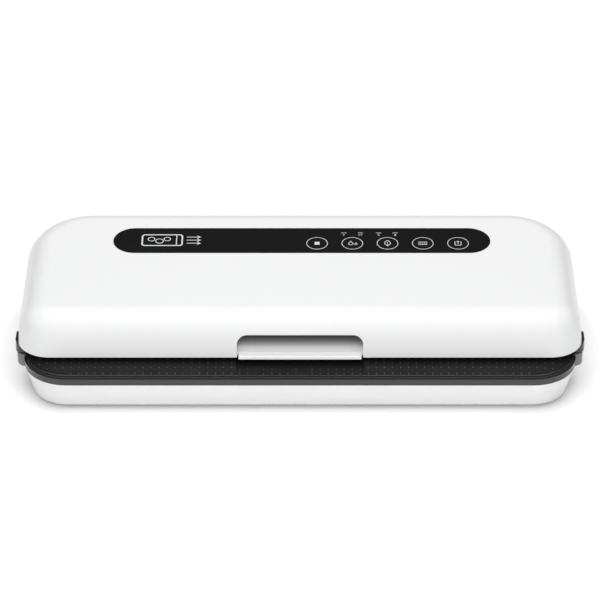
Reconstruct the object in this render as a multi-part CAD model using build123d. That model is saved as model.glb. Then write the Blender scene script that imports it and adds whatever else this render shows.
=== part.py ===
from build123d import *
import math
import os

# Household vacuum sealer. Millimetres, +Z up, the front faces -Y, +X is the viewer's right.
# The origin is on the table, under the middle of the machine.

# Base
base_width = 357.0
base_depth = 156.5
base_corner = 29.0
foot_height = 2.2
foot_radius = 6.0
foot_inset_x = 43.5
foot_inset_y = 30.25
shell_height = 18.8
shell_draft = 16.0
shell_edge = 1.6
wall = 2.4
floor = 2.5

# Black rim: an upright wall, then two fine steps up to the bag plate
rim_wall_height = 4.5
rim_step_width = 0.9
rim_step_height = 1.05
rim_width = 2.6
ledge_width = 3.4
ledge_height = 2.3

# Bag plate
deck_thickness = 3.2
deck_slope_run = 7.5
deck_slope_drop = 1.8
deck_edge_round = 1.1
seam_gap = 0.3
recess_margin = 0.5
recess_length = 17.0
recess_corner = 6.0

# Lid
lid_overhang = 4.2
lid_setback = 14.3
lid_gap = 3.5
lid_front_height = 27.5
lid_tilt = 3.3
lid_draft = 6.0
lid_front_corner = 22.0
lid_rear_corner = 44.0
lid_edge_round = 18.0
liner_thickness = 3.0
liner_clearance = 0.3

# Hinge
hinge_radius = 4.0
hinge_drop = 1.5
hinge_inset = 58.5
knuckle_width = 13.0
lug_width = 6.0
knuckle_gap = 0.5
hinge_pin_radius = 2.0
running_gap = 0.05

# Vacuum chamber and gaskets
tray_end_margin = 32.5
tray_width = 38.0
tray_depth = 14.0
tray_wall = 1.6
tray_flange = 2.0
tray_flange_height = 1.0
gasket_margin = 6.0
gasket_width = 5.0
gasket_proud = 2.1
gasket_gap = 0.3
gasket_seat = 1.2
pocket_rise = 10.5
pocket_wall = 2.0

# Sealing
seal_setback = 36.25
seal_end_margin = 26.5
seal_width = 8.0
strip_seat = 1.7
strip_proud = 2.4
bar_flange = 3.0
bar_height = 3.0
wire_width = 3.0
wire_thickness = 0.2
tape_thickness = 0.15
bar_recess = 0.3

# Grip in the lid's front
grip_width = 81.0
grip_height = 15.8
grip_corner = 6.5
grip_depth = 13.5
grip_ledge = 1.5
grip_backing = 2.0
lip_proud = 1.3
lip_drop = 0.8
lip_height = 2.4

# Control panel
panel_end_margin = 58.0
panel_margin = 3.4
panel_setback = 45.5
panel_shift = 1.2
panel_seat = 1.4
panel_proud = 0.3
key_radius = 7.35
key_gap = 0.15
key_first_x = 10.1
key_pitch = 23.3
key_offset = 3.7
key_travel = 0.5
key_flange = 0.9
key_names = ["key_stop", "key_moisture", "key_food", "key_seal", "key_vacuum"]
window_x = [28.0, 39.0, 51.0, 62.0]
window_offset = 8.6
window_length = 3.6
window_width = 1.2

# Side cheeks, release buttons and latches
cheek_thickness = 1.3
cheek_gap = 0.4
cheek_length = 15.0
cheek_shift = 1.5
cheek_rise = 0.8
button_length = 16.0
button_height = 9.4
button_gap = 0.3
button_inset = 0.8
button_travel = 2.5
latch_inset = 12.5
latch_height = 12.5
latch_width = 8.0
latch_pin_radius = 1.5

# Pump, release valve and pressure sensor
motor_radius = 12.5
motor_length = 45.0
motor_lift = 1.5
motor_inset = 58.0
pump_setback = 33.25
shaft_radius = 1.5
crank_length = 28.0
crank_wall = 2.0
eccentric_radius = 6.0
eccentric_throw = 1.5
head_length = 9.0
nozzle_radius = 3.0
barb_radius = 2.0
barb_bore = 1.1
barb_length = 9.0
hose_radius = 3.6
valve_spacing = 47.7
valve_size = 15.0
valve_height = 14.0
plunger_radius = 3.0
sensor_x = 60.0
sensor_radius = 6.0

# Keys' switches and their board
switch_height = 2.6
switch_size = 6.2
panel_board_thickness = 1.6
panel_board_width = 26.0

# Power board, placed behind the vacuum chamber
board_gap = 7.0
board_x0 = 26.0
board_inset = 31.0
board_width = 37.0
board_thickness = 1.6
board_lift = 4.0
board_post_inset = 5.0
lead_radius = 0.9
lead_bend = 2.5

# Cord gland in the rear wall
gland_x = 80.0
gland_rise = 11.5
gland_sleeve = 5.0
gland_flange = 7.0
gland_bore = 3.3

# Fasteners
screw_radius = 1.45
screw_clearance = 0.05
screw_head_radius = 2.8
screw_head_height = 1.8
base_screw_inset = 28.5
base_screw_middle_x = 60.0
base_screw_front = 21.25
base_screw_rear = 20.25
lid_screw_front = 11.0
lid_screw_inset = 43.0
lid_screw_middle_x = 70.0
lid_screw_rear_inset = 25.0
lid_screw_corner_rear = 16.25
lid_screw_middle_rear = 9.25

# Heights that follow
shell_top = foot_height + shell_height
rim_wall_top = shell_top + rim_wall_height
rim_top = rim_wall_top + 2 * rim_step_height
deck_top = rim_top + deck_slope_drop + 0.1
deck_bottom = deck_top - deck_thickness
lid_bottom = deck_top + lid_gap
liner_top = lid_bottom + liner_thickness
hinge_z = lid_bottom - hinge_drop
button_bottom = deck_bottom - button_gap - button_height
seal_bar_bottom = lid_bottom - bar_recess
pocket_top = lid_bottom + pocket_rise
switch_top = -wall - 0.1 - key_flange - key_travel - 0.1
panel_board_top = switch_top - switch_height
motor_z = liner_top + motor_lift + motor_radius
board_z = liner_top + board_lift
board_top = board_z + board_thickness
gland_z = lid_bottom + gland_rise

# Places along Y that follow
front_y = -base_depth / 2
hinge_y = base_depth / 2 - hinge_radius - 0.5
lid_front_y = front_y + lid_setback
lid_rear_y = hinge_y - 0.5
lid_depth = lid_rear_y - lid_front_y
lid_middle_y = (lid_front_y + lid_rear_y) / 2
seal_y = front_y + seal_setback
tray_y = seal_y + seal_width / 2 + gasket_width + gasket_margin + tray_width / 2
panel_y = lid_rear_y - panel_setback
cheek_y = seal_y + cheek_shift
pump_y = lid_rear_y - pump_setback
board_y0 = tray_y + tray_width / 2 + pocket_wall + board_gap
board_y1 = board_y0 + board_width
foot_y = base_depth / 2 - foot_inset_y

# Places along X that follow
wall_x = base_width / 2
lid_width = base_width + 2 * lid_overhang
cover_side_x = lid_width / 2
cheek_inner_x = cover_side_x + cheek_gap
cheek_outer_x = cheek_inner_x + cheek_thickness
foot_x = wall_x - foot_inset_x
hinge_x = wall_x - hinge_inset
tray_length = base_width - 2 * tray_end_margin
seal_length = base_width - 2 * seal_end_margin
recess_width = grip_width + 2 * recess_margin
panel_length = lid_width - 2 * panel_end_margin
panel_width = 2 * (key_offset + key_radius + panel_margin)
latch_x = wall_x - latch_inset
catch_x = latch_x + 5.0
motor_x = motor_inset - cover_side_x
motor_end_x = motor_x + motor_length
crank_x0 = motor_end_x + 0.2
head_x0 = crank_x0 + crank_length
nozzle_x = head_x0 + head_length / 2
valve_x = nozzle_x - valve_spacing
board_x1 = cover_side_x - board_inset

# Rims, seats and the places of the fasteners
deck_inset = rim_width + seam_gap
board_posts = [(x, y)
               for x in (board_x0 + board_post_inset, board_x1 - board_post_inset)
               for y in (board_y0 + board_post_inset, board_y1 - board_post_inset)]
base_screw_places = [(x, y)
                     for x in (base_screw_inset - wall_x, -base_screw_middle_x,
                               base_screw_middle_x, wall_x - base_screw_inset)
                     for y in (front_y + base_screw_front, -front_y - base_screw_rear)]
lid_screw_places = [(x, seal_y - lid_screw_front)
                    for x in (lid_screw_inset - cover_side_x, -lid_screw_middle_x,
                              lid_screw_middle_x, cover_side_x - lid_screw_inset)]
lid_screw_places += [(lid_screw_rear_inset - cover_side_x, lid_rear_y - lid_screw_corner_rear),
                     (0.0, lid_rear_y - lid_screw_middle_rear),
                     (cover_side_x - lid_screw_rear_inset, lid_rear_y - lid_screw_corner_rear)]


def rounded(width, depth, radius, z, x=0.0, y=0.0):
    """A rounded rectangle lying at height z."""
    return Pos(x, y, z) * RectangleRounded(width, depth, radius)


def block(x0, x1, y0, y1, z0, z1):
    """A box between two corners."""
    solid = Box(x1 - x0, y1 - y0, z1 - z0, align=(Align.MIN, Align.MIN, Align.MIN))
    return Pos(x0, y0, z0) * solid


def post(radius, x, y, z0, z1):
    """An upright cylinder."""
    solid = Cylinder(radius, z1 - z0, align=(Align.CENTER, Align.CENTER, Align.MIN))
    return Pos(x, y, z0) * solid


def rod_x(radius, x0, x1, y, z):
    """A cylinder along X."""
    solid = Cylinder(radius, x1 - x0, align=(Align.CENTER, Align.CENTER, Align.MIN))
    return Pos(x0, y, z) * Rot(0, 90, 0) * solid


def rod_y(radius, x, y0, y1, z):
    """A cylinder along Y."""
    solid = Cylinder(radius, y1 - y0, align=(Align.CENTER, Align.CENTER, Align.MIN))
    return Pos(x, y0, z) * Rot(-90, 0, 0) * solid


def base_plan(inset, z):
    """The base's outline, drawn in by inset."""
    return rounded(base_width - 2 * inset, base_depth - 2 * inset, base_corner - inset, z)


def ring(outer, inner, height):
    """What an outline leaves round a smaller one."""
    return extrude(outer - inner, height)


def bottom_edges(solid):
    return solid.faces().sort_by(Axis.Z)[0].edges()


def hull(inset, z_bottom):
    """The shell's outside, or the space inside it, tapering down from the rim."""
    height = shell_top - z_bottom
    solid = extrude(base_plan(inset, shell_top), amount=-height, taper=shell_draft)
    return fillet(bottom_edges(solid), max(shell_edge - inset / 2, 1.0))


def lid_plan(inset, z):
    """The lid's outline, tight at the front corners and wide at the rear ones."""
    plan = Pos(0, lid_middle_y, z) * Rectangle(lid_width - 2 * inset, lid_depth - 2 * inset)
    plan = fillet(plan.vertices().sort_by(Axis.Y)[:2], lid_front_corner - inset)
    corners = [v for v in plan.vertices() if v.Y > lid_rear_y - inset - 1 and abs(v.X) > lid_width / 4]
    return fillet(corners, lid_rear_corner - inset)


def top_height(y):
    """The lid's top surface, which rises to the rear."""
    return lid_bottom + lid_front_height + (y - lid_front_y) * math.tan(math.radians(lid_tilt))


def lid_form(inset, z_bottom):
    """The lid's outside, or the space inside it: drafted walls, a tilted top, one large round."""
    solid = extrude(lid_plan(inset, z_bottom), amount=2 * lid_front_height, taper=lid_draft)
    above = Box(2 * lid_width, 2 * lid_width, 100, align=(Align.CENTER, Align.CENTER, Align.MIN))
    solid -= Pos(0, 0, top_height(0) - inset) * Rot(lid_tilt, 0, 0) * above
    return fillet(solid.faces().sort_by(Axis.Z)[-1].edges(), lid_edge_round - inset)


def on_top(x, v, w):
    """A place on the control panel: v towards the rear, w out of the surface."""
    return Pos(panel_shift, panel_y, top_height(panel_y)) * Rot(lid_tilt, 0, 0) * Pos(x, v, w)


def disc_on_top(radius, x, v, w0, w1):
    solid = Cylinder(radius, w1 - w0, align=(Align.CENTER, Align.CENTER, Align.MIN))
    return on_top(x, v, w0) * solid


def key_x(index):
    return key_first_x + index * key_pitch


def both_sides(solid):
    """A piece on the right and its twin on the left."""
    return [solid, mirror(solid, about=Plane.YZ)]


def helix_spring(radius, wire, pitch, height):
    """A coil spring standing on the origin."""
    path = Helix(pitch=pitch, height=height, radius=radius)
    start = Plane(origin=path @ 0, z_dir=path % 0)
    return sweep(start * Circle(wire), path=path, is_frenet=True)


def base_shell():
    """White lower housing: a tapering hull with a floor, screw bosses and the latch lugs."""
    shell = hull(0, foot_height) - hull(wall, foot_height + floor)
    for x, y in base_screw_places:
        shell += post(4.5, x, y, foot_height + floor, shell_top - 2)
        shell -= post(screw_radius + 0.25, x, y, foot_height - 1, shell_top)
        shell -= post(screw_head_radius + 0.4, x, y, foot_height - 1, foot_height + 4.6)
    for x in (-foot_x, foot_x):
        for y in (-foot_y, foot_y):
            shell -= post(2.5 + screw_clearance, x, y, foot_height - 1, foot_height + floor + 1)
    for lug in latch_lugs():
        shell += lug
    for window in both_sides(button_window()):
        shell -= window
    return shell


def latch_lugs():
    """Two upright ears on each side that hold the latch's pin."""
    lugs = []
    for y0 in (seal_y - latch_width / 2 - 4.5, seal_y + latch_width / 2 + 4.0):
        lug = block(latch_x - 4, latch_x + 4, y0, y0 + 2.5, foot_height + floor - 0.5, latch_height + 3.5)
        lug -= rod_y(latch_pin_radius + 0.02, latch_x, y0 - 1, y0 + 4, latch_height)
        lugs += both_sides(lug)
    return lugs


def button_window():
    """The opening in the side wall that a release button slides through."""
    y0 = seal_y - button_length / 2 - button_gap
    y1 = seal_y + button_length / 2 + button_gap
    z0 = button_bottom - button_gap
    return block(wall_x - rim_width - ledge_width - 2, wall_x + 2, y0, y1, z0, deck_bottom)


def cheek():
    """The upright tab beside the lid, on a bracket that reaches out from the rim."""
    y0 = cheek_y - cheek_length / 2
    y1 = cheek_y + cheek_length / 2
    bracket = block(wall_x - 1.5, cheek_outer_x, y0, y1, deck_bottom, lid_bottom - 0.6)
    tab = block(cheek_inner_x, cheek_outer_x, y0, y1, deck_bottom, lid_bottom + cheek_rise)
    solid = bracket + tab
    outer = solid.edges().filter_by(Axis.Z).group_by(Axis.X)[-1]
    solid = fillet(outer.sort_by(Axis.Y)[0], 5.0)
    outer = solid.edges().filter_by(Axis.Z).group_by(Axis.X)[-1]
    return fillet(outer.sort_by(Axis.Y)[-1], 2.0)


def base_frame():
    """Black rim round the bag plate, with a ledge inside and a cheek on each side."""
    frame = ring(base_plan(0, shell_top), base_plan(rim_width, shell_top), rim_wall_height)
    for step in (1, 2):
        inset = step * rim_step_width
        z = rim_wall_top + (step - 1) * rim_step_height
        frame += ring(base_plan(inset, z), base_plan(rim_width, z), rim_step_height)
    ledge_z = deck_bottom - ledge_height
    inner = base_plan(rim_width + ledge_width, ledge_z)
    frame += ring(base_plan(rim_width - 0.5, ledge_z), inner, ledge_height)
    for window in both_sides(button_window()):
        frame -= window
    for side in both_sides(cheek()):
        frame += side
    return frame


def gasket_plan(margin, z):
    """The line of the two gaskets round the vacuum chamber."""
    length = tray_length + 2 * margin
    depth = tray_width + 2 * margin
    return rounded(length, depth, 8.0 + margin, z, y=tray_y)


def bag_deck():
    """Black bag plate, sloping down to the rim, with every seat that it carries."""
    deck = extrude(base_plan(deck_inset, deck_bottom), rim_top + 0.1 - deck_bottom)
    top = base_plan(deck_inset + deck_slope_run, deck_top)
    deck += loft([base_plan(deck_inset, rim_top + 0.1), top], ruled=True)
    shoulder = [e for e in deck.edges() if abs(e.center().Z - rim_top - 0.1) < 0.01]
    deck = fillet(shoulder, deck_edge_round)
    recess_y = front_y + recess_length / 2
    recess = rounded(recess_width, recess_length + 10, recess_corner, rim_top + 0.1, y=recess_y)
    deck -= extrude(recess, 10)
    deck -= extrude(rounded(tray_length, tray_width, 8.0, deck_bottom - 1, y=tray_y), 10)
    flange = rounded(tray_length + 2 * tray_flange, tray_width + 2 * tray_flange, 8.0 + tray_flange,
                     deck_top - tray_flange_height, y=tray_y)
    deck -= extrude(flange, 5)
    seat_z = deck_top - gasket_seat
    deck -= ring(gasket_plan(gasket_margin + gasket_width, seat_z), gasket_plan(gasket_margin, seat_z), 5)
    deck -= extrude(rounded(seal_length, seal_width, 2.0, deck_top - strip_seat, y=seal_y), 5)
    slot = block(latch_x - 6.8, latch_x + 8.2, seal_y - 5.5, seal_y + 5.5, deck_bottom - 1, deck_top + 1)
    for side in both_sides(slot):
        deck -= side
    for side in (-hinge_x, hinge_x):
        deck = hinge_seat(deck, side)
    for x, y in base_screw_places:
        deck += post(3.6, x, y, shell_top - 1.5, deck_bottom)
        deck -= post(screw_radius + screw_clearance, x, y, shell_top - 3, deck_top - 2.4)
    deck -= switch_target()
    return deck


def switch_target():
    """A shallow dimple under the lid switch."""
    return post(2.5, -latch_x, tray_y, deck_top - 0.4, deck_top + 1)


def hinge_seat(deck, x):
    """Two lugs for one hinge, and the notch between them for the lid's knuckle."""
    half = knuckle_width / 2
    for x0 in (x - half - knuckle_gap - lug_width, x + half + knuckle_gap):
        lug = rod_x(hinge_radius, x0, x0 + lug_width, hinge_y, hinge_z)
        web_y = base_depth / 2 - deck_inset
        lug += block(x0, x0 + lug_width, hinge_y - hinge_radius, web_y, rim_top - 0.6, hinge_z)
        lug -= rod_x(hinge_pin_radius + 0.02, x0 - 1, x0 + lug_width + 1, hinge_y, hinge_z)
        deck += lug
    notch_x = half + knuckle_gap
    notch_z = hinge_z - hinge_radius - 0.5
    notch = block(x - notch_x, x + notch_x, hinge_y - 5, base_depth / 2, notch_z, deck_top + 1)
    return deck - notch


def vacuum_tray():
    """Drip tray hanging in the plate by a thin flange."""
    z = deck_top - tray_flange_height
    gap = 0.2
    length = tray_length - 2 * gap
    width = tray_width - 2 * gap
    tray = extrude(rounded(length, width, 8.0, deck_top - tray_depth, y=tray_y), tray_depth)
    flange = rounded(length + 2 * tray_flange, width + 2 * tray_flange, 8.0 + tray_flange, z, y=tray_y)
    tray += extrude(flange, tray_flange_height)
    inner = rounded(length - 2 * tray_wall, width - 2 * tray_wall, 8.0 - tray_wall,
                    deck_top - tray_depth + tray_wall, y=tray_y)
    return tray - extrude(inner, tray_depth)


def gasket(z0, z1):
    gap = 0.1
    outer = gasket_plan(gasket_margin + gasket_width - gap, z0)
    solid = ring(outer, gasket_plan(gasket_margin + gap, z0), z1 - z0)
    return solid


def lower_gasket():
    """Foam ring in the plate; its top edges are rounded over."""
    solid = gasket(deck_top - gasket_seat, deck_top + gasket_proud)
    return fillet(solid.faces().sort_by(Axis.Z)[-1].edges(), 1.0)


def upper_gasket():
    """Foam ring in the liner, facing the lower one."""
    solid = gasket(deck_top + gasket_proud + gasket_gap, lid_bottom + gasket_seat)
    return fillet(bottom_edges(solid), 0.8)


def pressure_strip():
    """Silicone strip that the bag is pressed on for sealing."""
    z = deck_top - strip_seat
    solid = extrude(rounded(seal_length - 0.3, seal_width - 0.3, 2.0, z, y=seal_y), strip_seat + strip_proud)
    return fillet(solid.faces().sort_by(Axis.Z)[-1].edges(), 0.8)


def rubber_feet():
    feet = []
    for x in (-foot_x, foot_x):
        for y in (-foot_y, foot_y):
            foot = post(foot_radius, x, y, 0, foot_height)
            foot = fillet(bottom_edges(foot), foot_height / 3)
            foot += post(2.5, x, y, foot_height, foot_height + floor + 1)
            feet.append(foot)
    return feet


def screw(x, y, z, length):
    """A pan-head screw with its head downwards, head bearing at z."""
    solid = post(screw_head_radius, x, y, z - screw_head_height, z)
    solid += post(screw_radius, x, y, z, z + length)
    drive = Pos(x, y, z - screw_head_height) * (Box(3.2, 0.7, 1.6) + Box(0.7, 3.2, 1.6))
    return solid - drive


def base_screws():
    return [screw(x, y, foot_height + 4.6, deck_top - 2.6 - foot_height - 4.6) for x, y in base_screw_places]


def hinge_pins():
    reach = knuckle_width / 2 + knuckle_gap + lug_width + 0.4
    return [rod_x(hinge_pin_radius, x - reach, x + reach, hinge_y, hinge_z) for x in (-hinge_x, hinge_x)]


def latch_pins():
    y0 = seal_y - latch_width / 2 - 5.0
    y1 = seal_y + latch_width / 2 + 7.0
    return both_sides(rod_y(latch_pin_radius, latch_x, y0, y1, latch_height))


def latch_springs():
    """A torsion spring round each latch pin, between the lever and a lug."""
    coil = helix_spring(2.3, 0.35, 0.9, 2.7)
    place = Pos(latch_x, seal_y + latch_width / 2 + 0.7, latch_height) * Rot(-90, 0, 0)
    return both_sides(place * coil)


def release_button():
    """Grey cap that slides in through the side wall, with a collar behind it."""
    y0 = seal_y - button_length / 2
    y1 = seal_y + button_length / 2
    top = button_bottom + button_height
    outer_x = cheek_outer_x - button_inset
    cap = block(latch_x + 4.0, outer_x, y0, y1, button_bottom, top)
    front = cap.edges().filter_by(Axis.Z).group_by(Axis.X)[-1].sort_by(Axis.Y)[0]
    cap = fillet(front, 6.0)
    rear = cap.edges().filter_by(Axis.Z).group_by(Axis.X)[-1].sort_by(Axis.Y)[-1]
    cap = fillet(rear, 3.0)
    rim = [e for e in cap.edges() if abs(e.center().Z - button_bottom) < 0.01 and e.center().X > wall_x]
    cap = fillet(rim, 1.6)
    collar_top = deck_bottom - ledge_height + 1
    collar = block(latch_x + 4.0, latch_x + 6.0, y0 - 2, y1 + 2, button_bottom + 1, collar_top)
    return cap + collar


def latch_lever():
    """Lever on the latch pin: a pad that the button pushes, and a nose that holds the lid's catch."""
    y0 = seal_y - latch_width / 2
    y1 = seal_y + latch_width / 2
    pad_z = latch_height + 9.6
    top = deck_top + 1.4
    lever = rod_y(3.5, latch_x, y0, y1, latch_height)
    lever += block(latch_x - 1.5, latch_x + 1.5, y0, y1, latch_height, top)
    lever += rod_y(2.0, latch_x + 1.7, y0, y1, pad_z)
    lever += block(latch_x, latch_x + 4.0, y0, y1, top - 1.2, top)
    return lever - rod_y(latch_pin_radius + running_gap, latch_x, y0 - 1, y1 + 1, latch_height)


def lid_cover():
    """White upper housing, one moulding with the grip's window and the seat for the panel."""
    space = lid_form(wall, lid_bottom - 1)
    cover = lid_form(0, lid_bottom) - space
    for x, y in lid_screw_places:
        boss = post(3.8, x, y, liner_top, 100) & space
        cover += boss
        cover -= post(screw_radius + screw_clearance, x, y, liner_top - 1, liner_top + 12)
    cover -= grip_window(0)
    cover -= on_top(0, 0, -panel_seat) * extrude(SlotOverall(panel_length + 0.3, panel_width + 0.3), 5)
    for index in range(len(key_names)):
        cover -= disc_on_top(key_radius + key_gap, key_x(index), -key_offset, -5, 1)
    for x in window_x:
        cover -= light_slot(x, 0.1)
    for x in (-hinge_x, hinge_x):
        half = knuckle_width / 2 + knuckle_gap + lug_width + 1
        cover -= block(x - half, x + half, lid_rear_y - 6, base_depth / 2, 0, hinge_z + hinge_radius + 1)
    cover -= rod_y(gland_sleeve + 0.1, gland_x, lid_rear_y - 8, base_depth / 2, gland_z)
    return cover


def cord_gland():
    """Rubber bush in the lid's rear wall, with a flange on each side of it."""
    rise = (gland_z - gland_flange - lid_bottom) * math.tan(math.radians(lid_draft))
    drop = (gland_z + gland_flange - lid_bottom) * math.tan(math.radians(lid_draft))
    outer_y = lid_rear_y - rise + 0.1
    inner_y = lid_rear_y - wall - drop - 0.3
    gland = rod_y(gland_flange, gland_x, outer_y, outer_y + 2.0, gland_z)
    gland = fillet(gland.faces().sort_by(Axis.Y)[-1].edges(), 1.0)
    gland += rod_y(gland_sleeve, gland_x, inner_y - 1.5, outer_y + 1, gland_z)
    gland += rod_y(gland_flange - 0.5, gland_x, inner_y - 1.5, inner_y, gland_z)
    return gland - rod_y(gland_bore, gland_x, inner_y - 5, outer_y + 5, gland_z)


def light_slot(x, gap):
    """One small light window through the cover's skin."""
    shape = SlotOverall(window_length + 2 * gap, window_width + 2 * gap)
    return on_top(x, window_offset, -wall - 1) * extrude(shape, wall + 1 + panel_proud)


def grip_window(gap):
    """The grip's outline, straight back into the lid, rounded at its top corners."""
    x = grip_width / 2 - gap
    z1 = lid_bottom + grip_height - gap
    solid = block(-x, x, lid_front_y - 5, lid_front_y + 22, lid_bottom - 5, z1)
    corners = solid.edges().filter_by(Axis.Y).group_by(Axis.Z)[-1]
    return fillet(corners, grip_corner)


def grip_hollow():
    """The grip's hollow, which curves from upright at the back to a level ledge at the front."""
    z1 = lid_bottom + grip_height
    z0 = lid_bottom + grip_ledge
    sketch = Plane.YZ * (Pos(lid_front_y - 1, z1) * Ellipse(grip_depth + 1, z1 - z0))
    bowl = extrude(sketch, grip_width / 2, both=True)
    front = block(-grip_width / 2, grip_width / 2, lid_front_y - 9, lid_front_y - 1, z0, z1 + 9)
    return (bowl + front) & grip_window(0)


def grip_insert():
    """White cup that closes the grip from behind, with a lip along its lower edge."""
    half = grip_width / 2 + grip_backing
    y1 = lid_front_y + grip_depth + grip_backing
    space = lid_form(wall + 0.15, lid_bottom - 1)
    cup = block(-half, half, lid_front_y - 5, y1, lid_bottom, lid_bottom + grip_height + grip_backing) & space
    x = grip_width / 2 - 1.0
    lip_y = lid_front_y - lip_proud
    lip_top = lid_bottom + grip_ledge
    lip = block(-x, x, lip_y, lid_front_y + 6, lip_top - lip_height, lip_top)
    lip = fillet(lip.edges().filter_by(Axis.X).group_by(Axis.Y)[0], 0.5)
    return (cup - grip_hollow()) + lip


def lid_liner():
    """Black panel that closes the lid from below, with the upper half of the vacuum chamber."""
    plan = lid_plan(wall + liner_clearance, lid_bottom)
    liner = extrude(plan, amount=liner_thickness, taper=lid_draft)
    grip = block(-grip_width / 2 - 3, grip_width / 2 + 3, lid_front_y - 5, lid_front_y + grip_depth + 3,
                 lid_bottom - 3, lid_bottom + 20)
    liner -= grip
    size = pocket_wall
    outer = rounded(tray_length + 2 * size, tray_width + 2 * size, 8.0 + size, lid_bottom, y=tray_y)
    liner += extrude(outer, pocket_rise)
    inner = rounded(tray_length, tray_width, 8.0, lid_bottom - 1, y=tray_y)
    liner -= extrude(inner, pocket_rise - pocket_wall + 1)
    seat = gasket_plan(gasket_margin + gasket_width, lid_bottom - 1)
    liner -= ring(seat, gasket_plan(gasket_margin, lid_bottom - 1), gasket_seat + 1)
    liner -= extrude(rounded(seal_length + 4, seal_width + 1.2, 2.0, lid_bottom - 1, y=seal_y), 9)
    for x, y in lid_screw_places:
        liner -= post(screw_radius + 0.25, x, y, lid_bottom - 1, liner_top + 1)
        liner -= post(screw_head_radius + 0.3, x, y, lid_bottom - 1, lid_bottom + screw_head_height)
    for side in both_sides(catch_slot()):
        liner -= side
    for x in (-hinge_x, hinge_x):
        liner = knuckle(liner, x)
    for x, y in board_posts:
        liner += post(3.0, x, y, liner_top - 0.5, board_z)
        liner -= post(1.15, x, y, liner_top, board_z + 1)
    liner -= post(nozzle_radius + screw_clearance, nozzle_x, tray_y, lid_bottom, pocket_top + 1)
    liner -= post(1.5, valve_x, tray_y, lid_bottom, pocket_top + 1)
    liner -= post(1.5, -latch_x, tray_y, lid_bottom - 1, liner_top + 1)
    return liner


def knuckle(liner, x):
    """One hinge knuckle of the lid, on an arm from the liner's rear edge."""
    half = knuckle_width / 2 + knuckle_gap + lug_width + 1
    liner -= block(x - half, x + half, hinge_y - 5, base_depth / 2, 0, liner_top + 1)
    x0 = x - knuckle_width / 2
    x1 = x + knuckle_width / 2
    arm = block(x0, x1, hinge_y - 8, hinge_y, lid_bottom, hinge_z + hinge_radius)
    liner += arm + rod_x(hinge_radius, x0, x1, hinge_y, hinge_z)
    return liner - rod_x(hinge_pin_radius + running_gap, x0 - 1, x1 + 1, hinge_y, hinge_z)


def catch_slot():
    return block(catch_x - 3, catch_x + 3, seal_y - 4.5, seal_y + 4.5, lid_bottom - 1, liner_top + 1)


def lid_catches():
    """A hook on each side that snaps under the latch's nose when the lid is pressed down."""
    y0 = seal_y - 4.0
    y1 = seal_y + 4.0
    bottom = deck_top + 1.7
    hook = block(catch_x, catch_x + 2, y0, y1, bottom, liner_top)
    hook += block(catch_x - 2, catch_x, y0, y1, bottom, bottom + 1.2)
    hook += block(catch_x - 5, catch_x + 5, y0 - 2, y1 + 2, liner_top, liner_top + 2)
    return both_sides(hook)


def control_panel():
    """Black gloss panel let into the lid's top."""
    plate = extrude(SlotOverall(panel_length, panel_width), panel_seat + panel_proud)
    panel = on_top(0, 0, -panel_seat) * plate
    top = panel.faces().sort_by(Axis.Z)[-1]
    panel = fillet(top.edges(), 0.25)
    for index in range(len(key_names)):
        panel -= disc_on_top(key_radius + key_gap, key_x(index), -key_offset, -5, 1)
    for x in window_x:
        panel -= light_slot(x, 0.05)
    return panel


def light_windows():
    return [light_slot(x, 0) for x in window_x]


def key(index):
    """A round key, flush with the panel, held by a flange under the cover's skin."""
    cap = disc_on_top(key_radius, key_x(index), -key_offset, -wall - 0.1, panel_proud)
    cap = fillet(cap.faces().sort_by(Axis.Z)[-1].edges(), 0.25)
    flange_top = -wall - 0.1
    return cap + disc_on_top(key_radius + 0.8, key_x(index), -key_offset, flange_top - key_flange, flange_top)


def control_board():
    """Circuit board under the keys."""
    x1 = key_x(len(key_names) - 1) + 10
    length = x1 + 2
    place = on_top(x1 - length / 2, 0, panel_board_top - panel_board_thickness)
    return place * extrude(RectangleRounded(length, panel_board_width, 1.5), panel_board_thickness)


def tact_switches():
    switches = []
    for index in range(len(key_names)):
        case = extrude(Rectangle(switch_size, switch_size), switch_height - 0.7)
        body = on_top(key_x(index), -key_offset, panel_board_top) * case
        body += disc_on_top(1.7, key_x(index), -key_offset, panel_board_top, switch_top)
        switches.append(body)
    return switches


def status_lights():
    return [disc_on_top(1.5, x, window_offset, panel_board_top, -wall - 1.3) for x in window_x]


def heater_bar():
    """Heat-proof holder that stands through the liner, with a flange above it."""
    foot = rounded(seal_length, seal_width, 2.0, seal_bar_bottom, y=seal_y)
    bar = extrude(foot, liner_top - seal_bar_bottom)
    flange = rounded(seal_length + 6, seal_width + bar_flange, 2.0, liner_top, y=seal_y)
    return bar + extrude(flange, bar_height)


def heating_strip():
    z = seal_bar_bottom - wire_thickness
    half = seal_length / 2 - 2
    return block(-half, half, seal_y - wire_width / 2, seal_y + wire_width / 2, z, seal_bar_bottom)


def ptfe_tape():
    z = seal_bar_bottom - wire_thickness - tape_thickness
    half = seal_length / 2
    return block(-half, half, seal_y - seal_width / 2, seal_y + seal_width / 2, z, z + tape_thickness)


def heater_terminals():
    """A tensioning clip at each end of the heating strip."""
    x = seal_length / 2 - 8
    z = liner_top + bar_height
    clip = block(x, x + 9, seal_y - 3, seal_y + 3, z, z + 1.0)
    clip += block(x + 6, x + 7, seal_y - 3, seal_y + 3, z, z + 4.5)
    return both_sides(clip)


def thermal_cutout():
    z = liner_top + bar_height
    body = block(-9, 9, seal_y - 3.5, seal_y + 3.5, z, z + 4)
    return fillet(body.edges().filter_by(Axis.X), 1.2)


def pump_motor():
    """Closed motor can with its shaft hole."""
    can = rod_x(motor_radius, motor_x, motor_end_x, pump_y, motor_z)
    can = fillet(can.edges(), 1.5)
    can += rod_x(4.0, motor_end_x, motor_end_x + 0.2, pump_y, motor_z)
    return can - rod_x(shaft_radius + running_gap, motor_end_x - 9, motor_end_x + 1, pump_y, motor_z)


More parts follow.
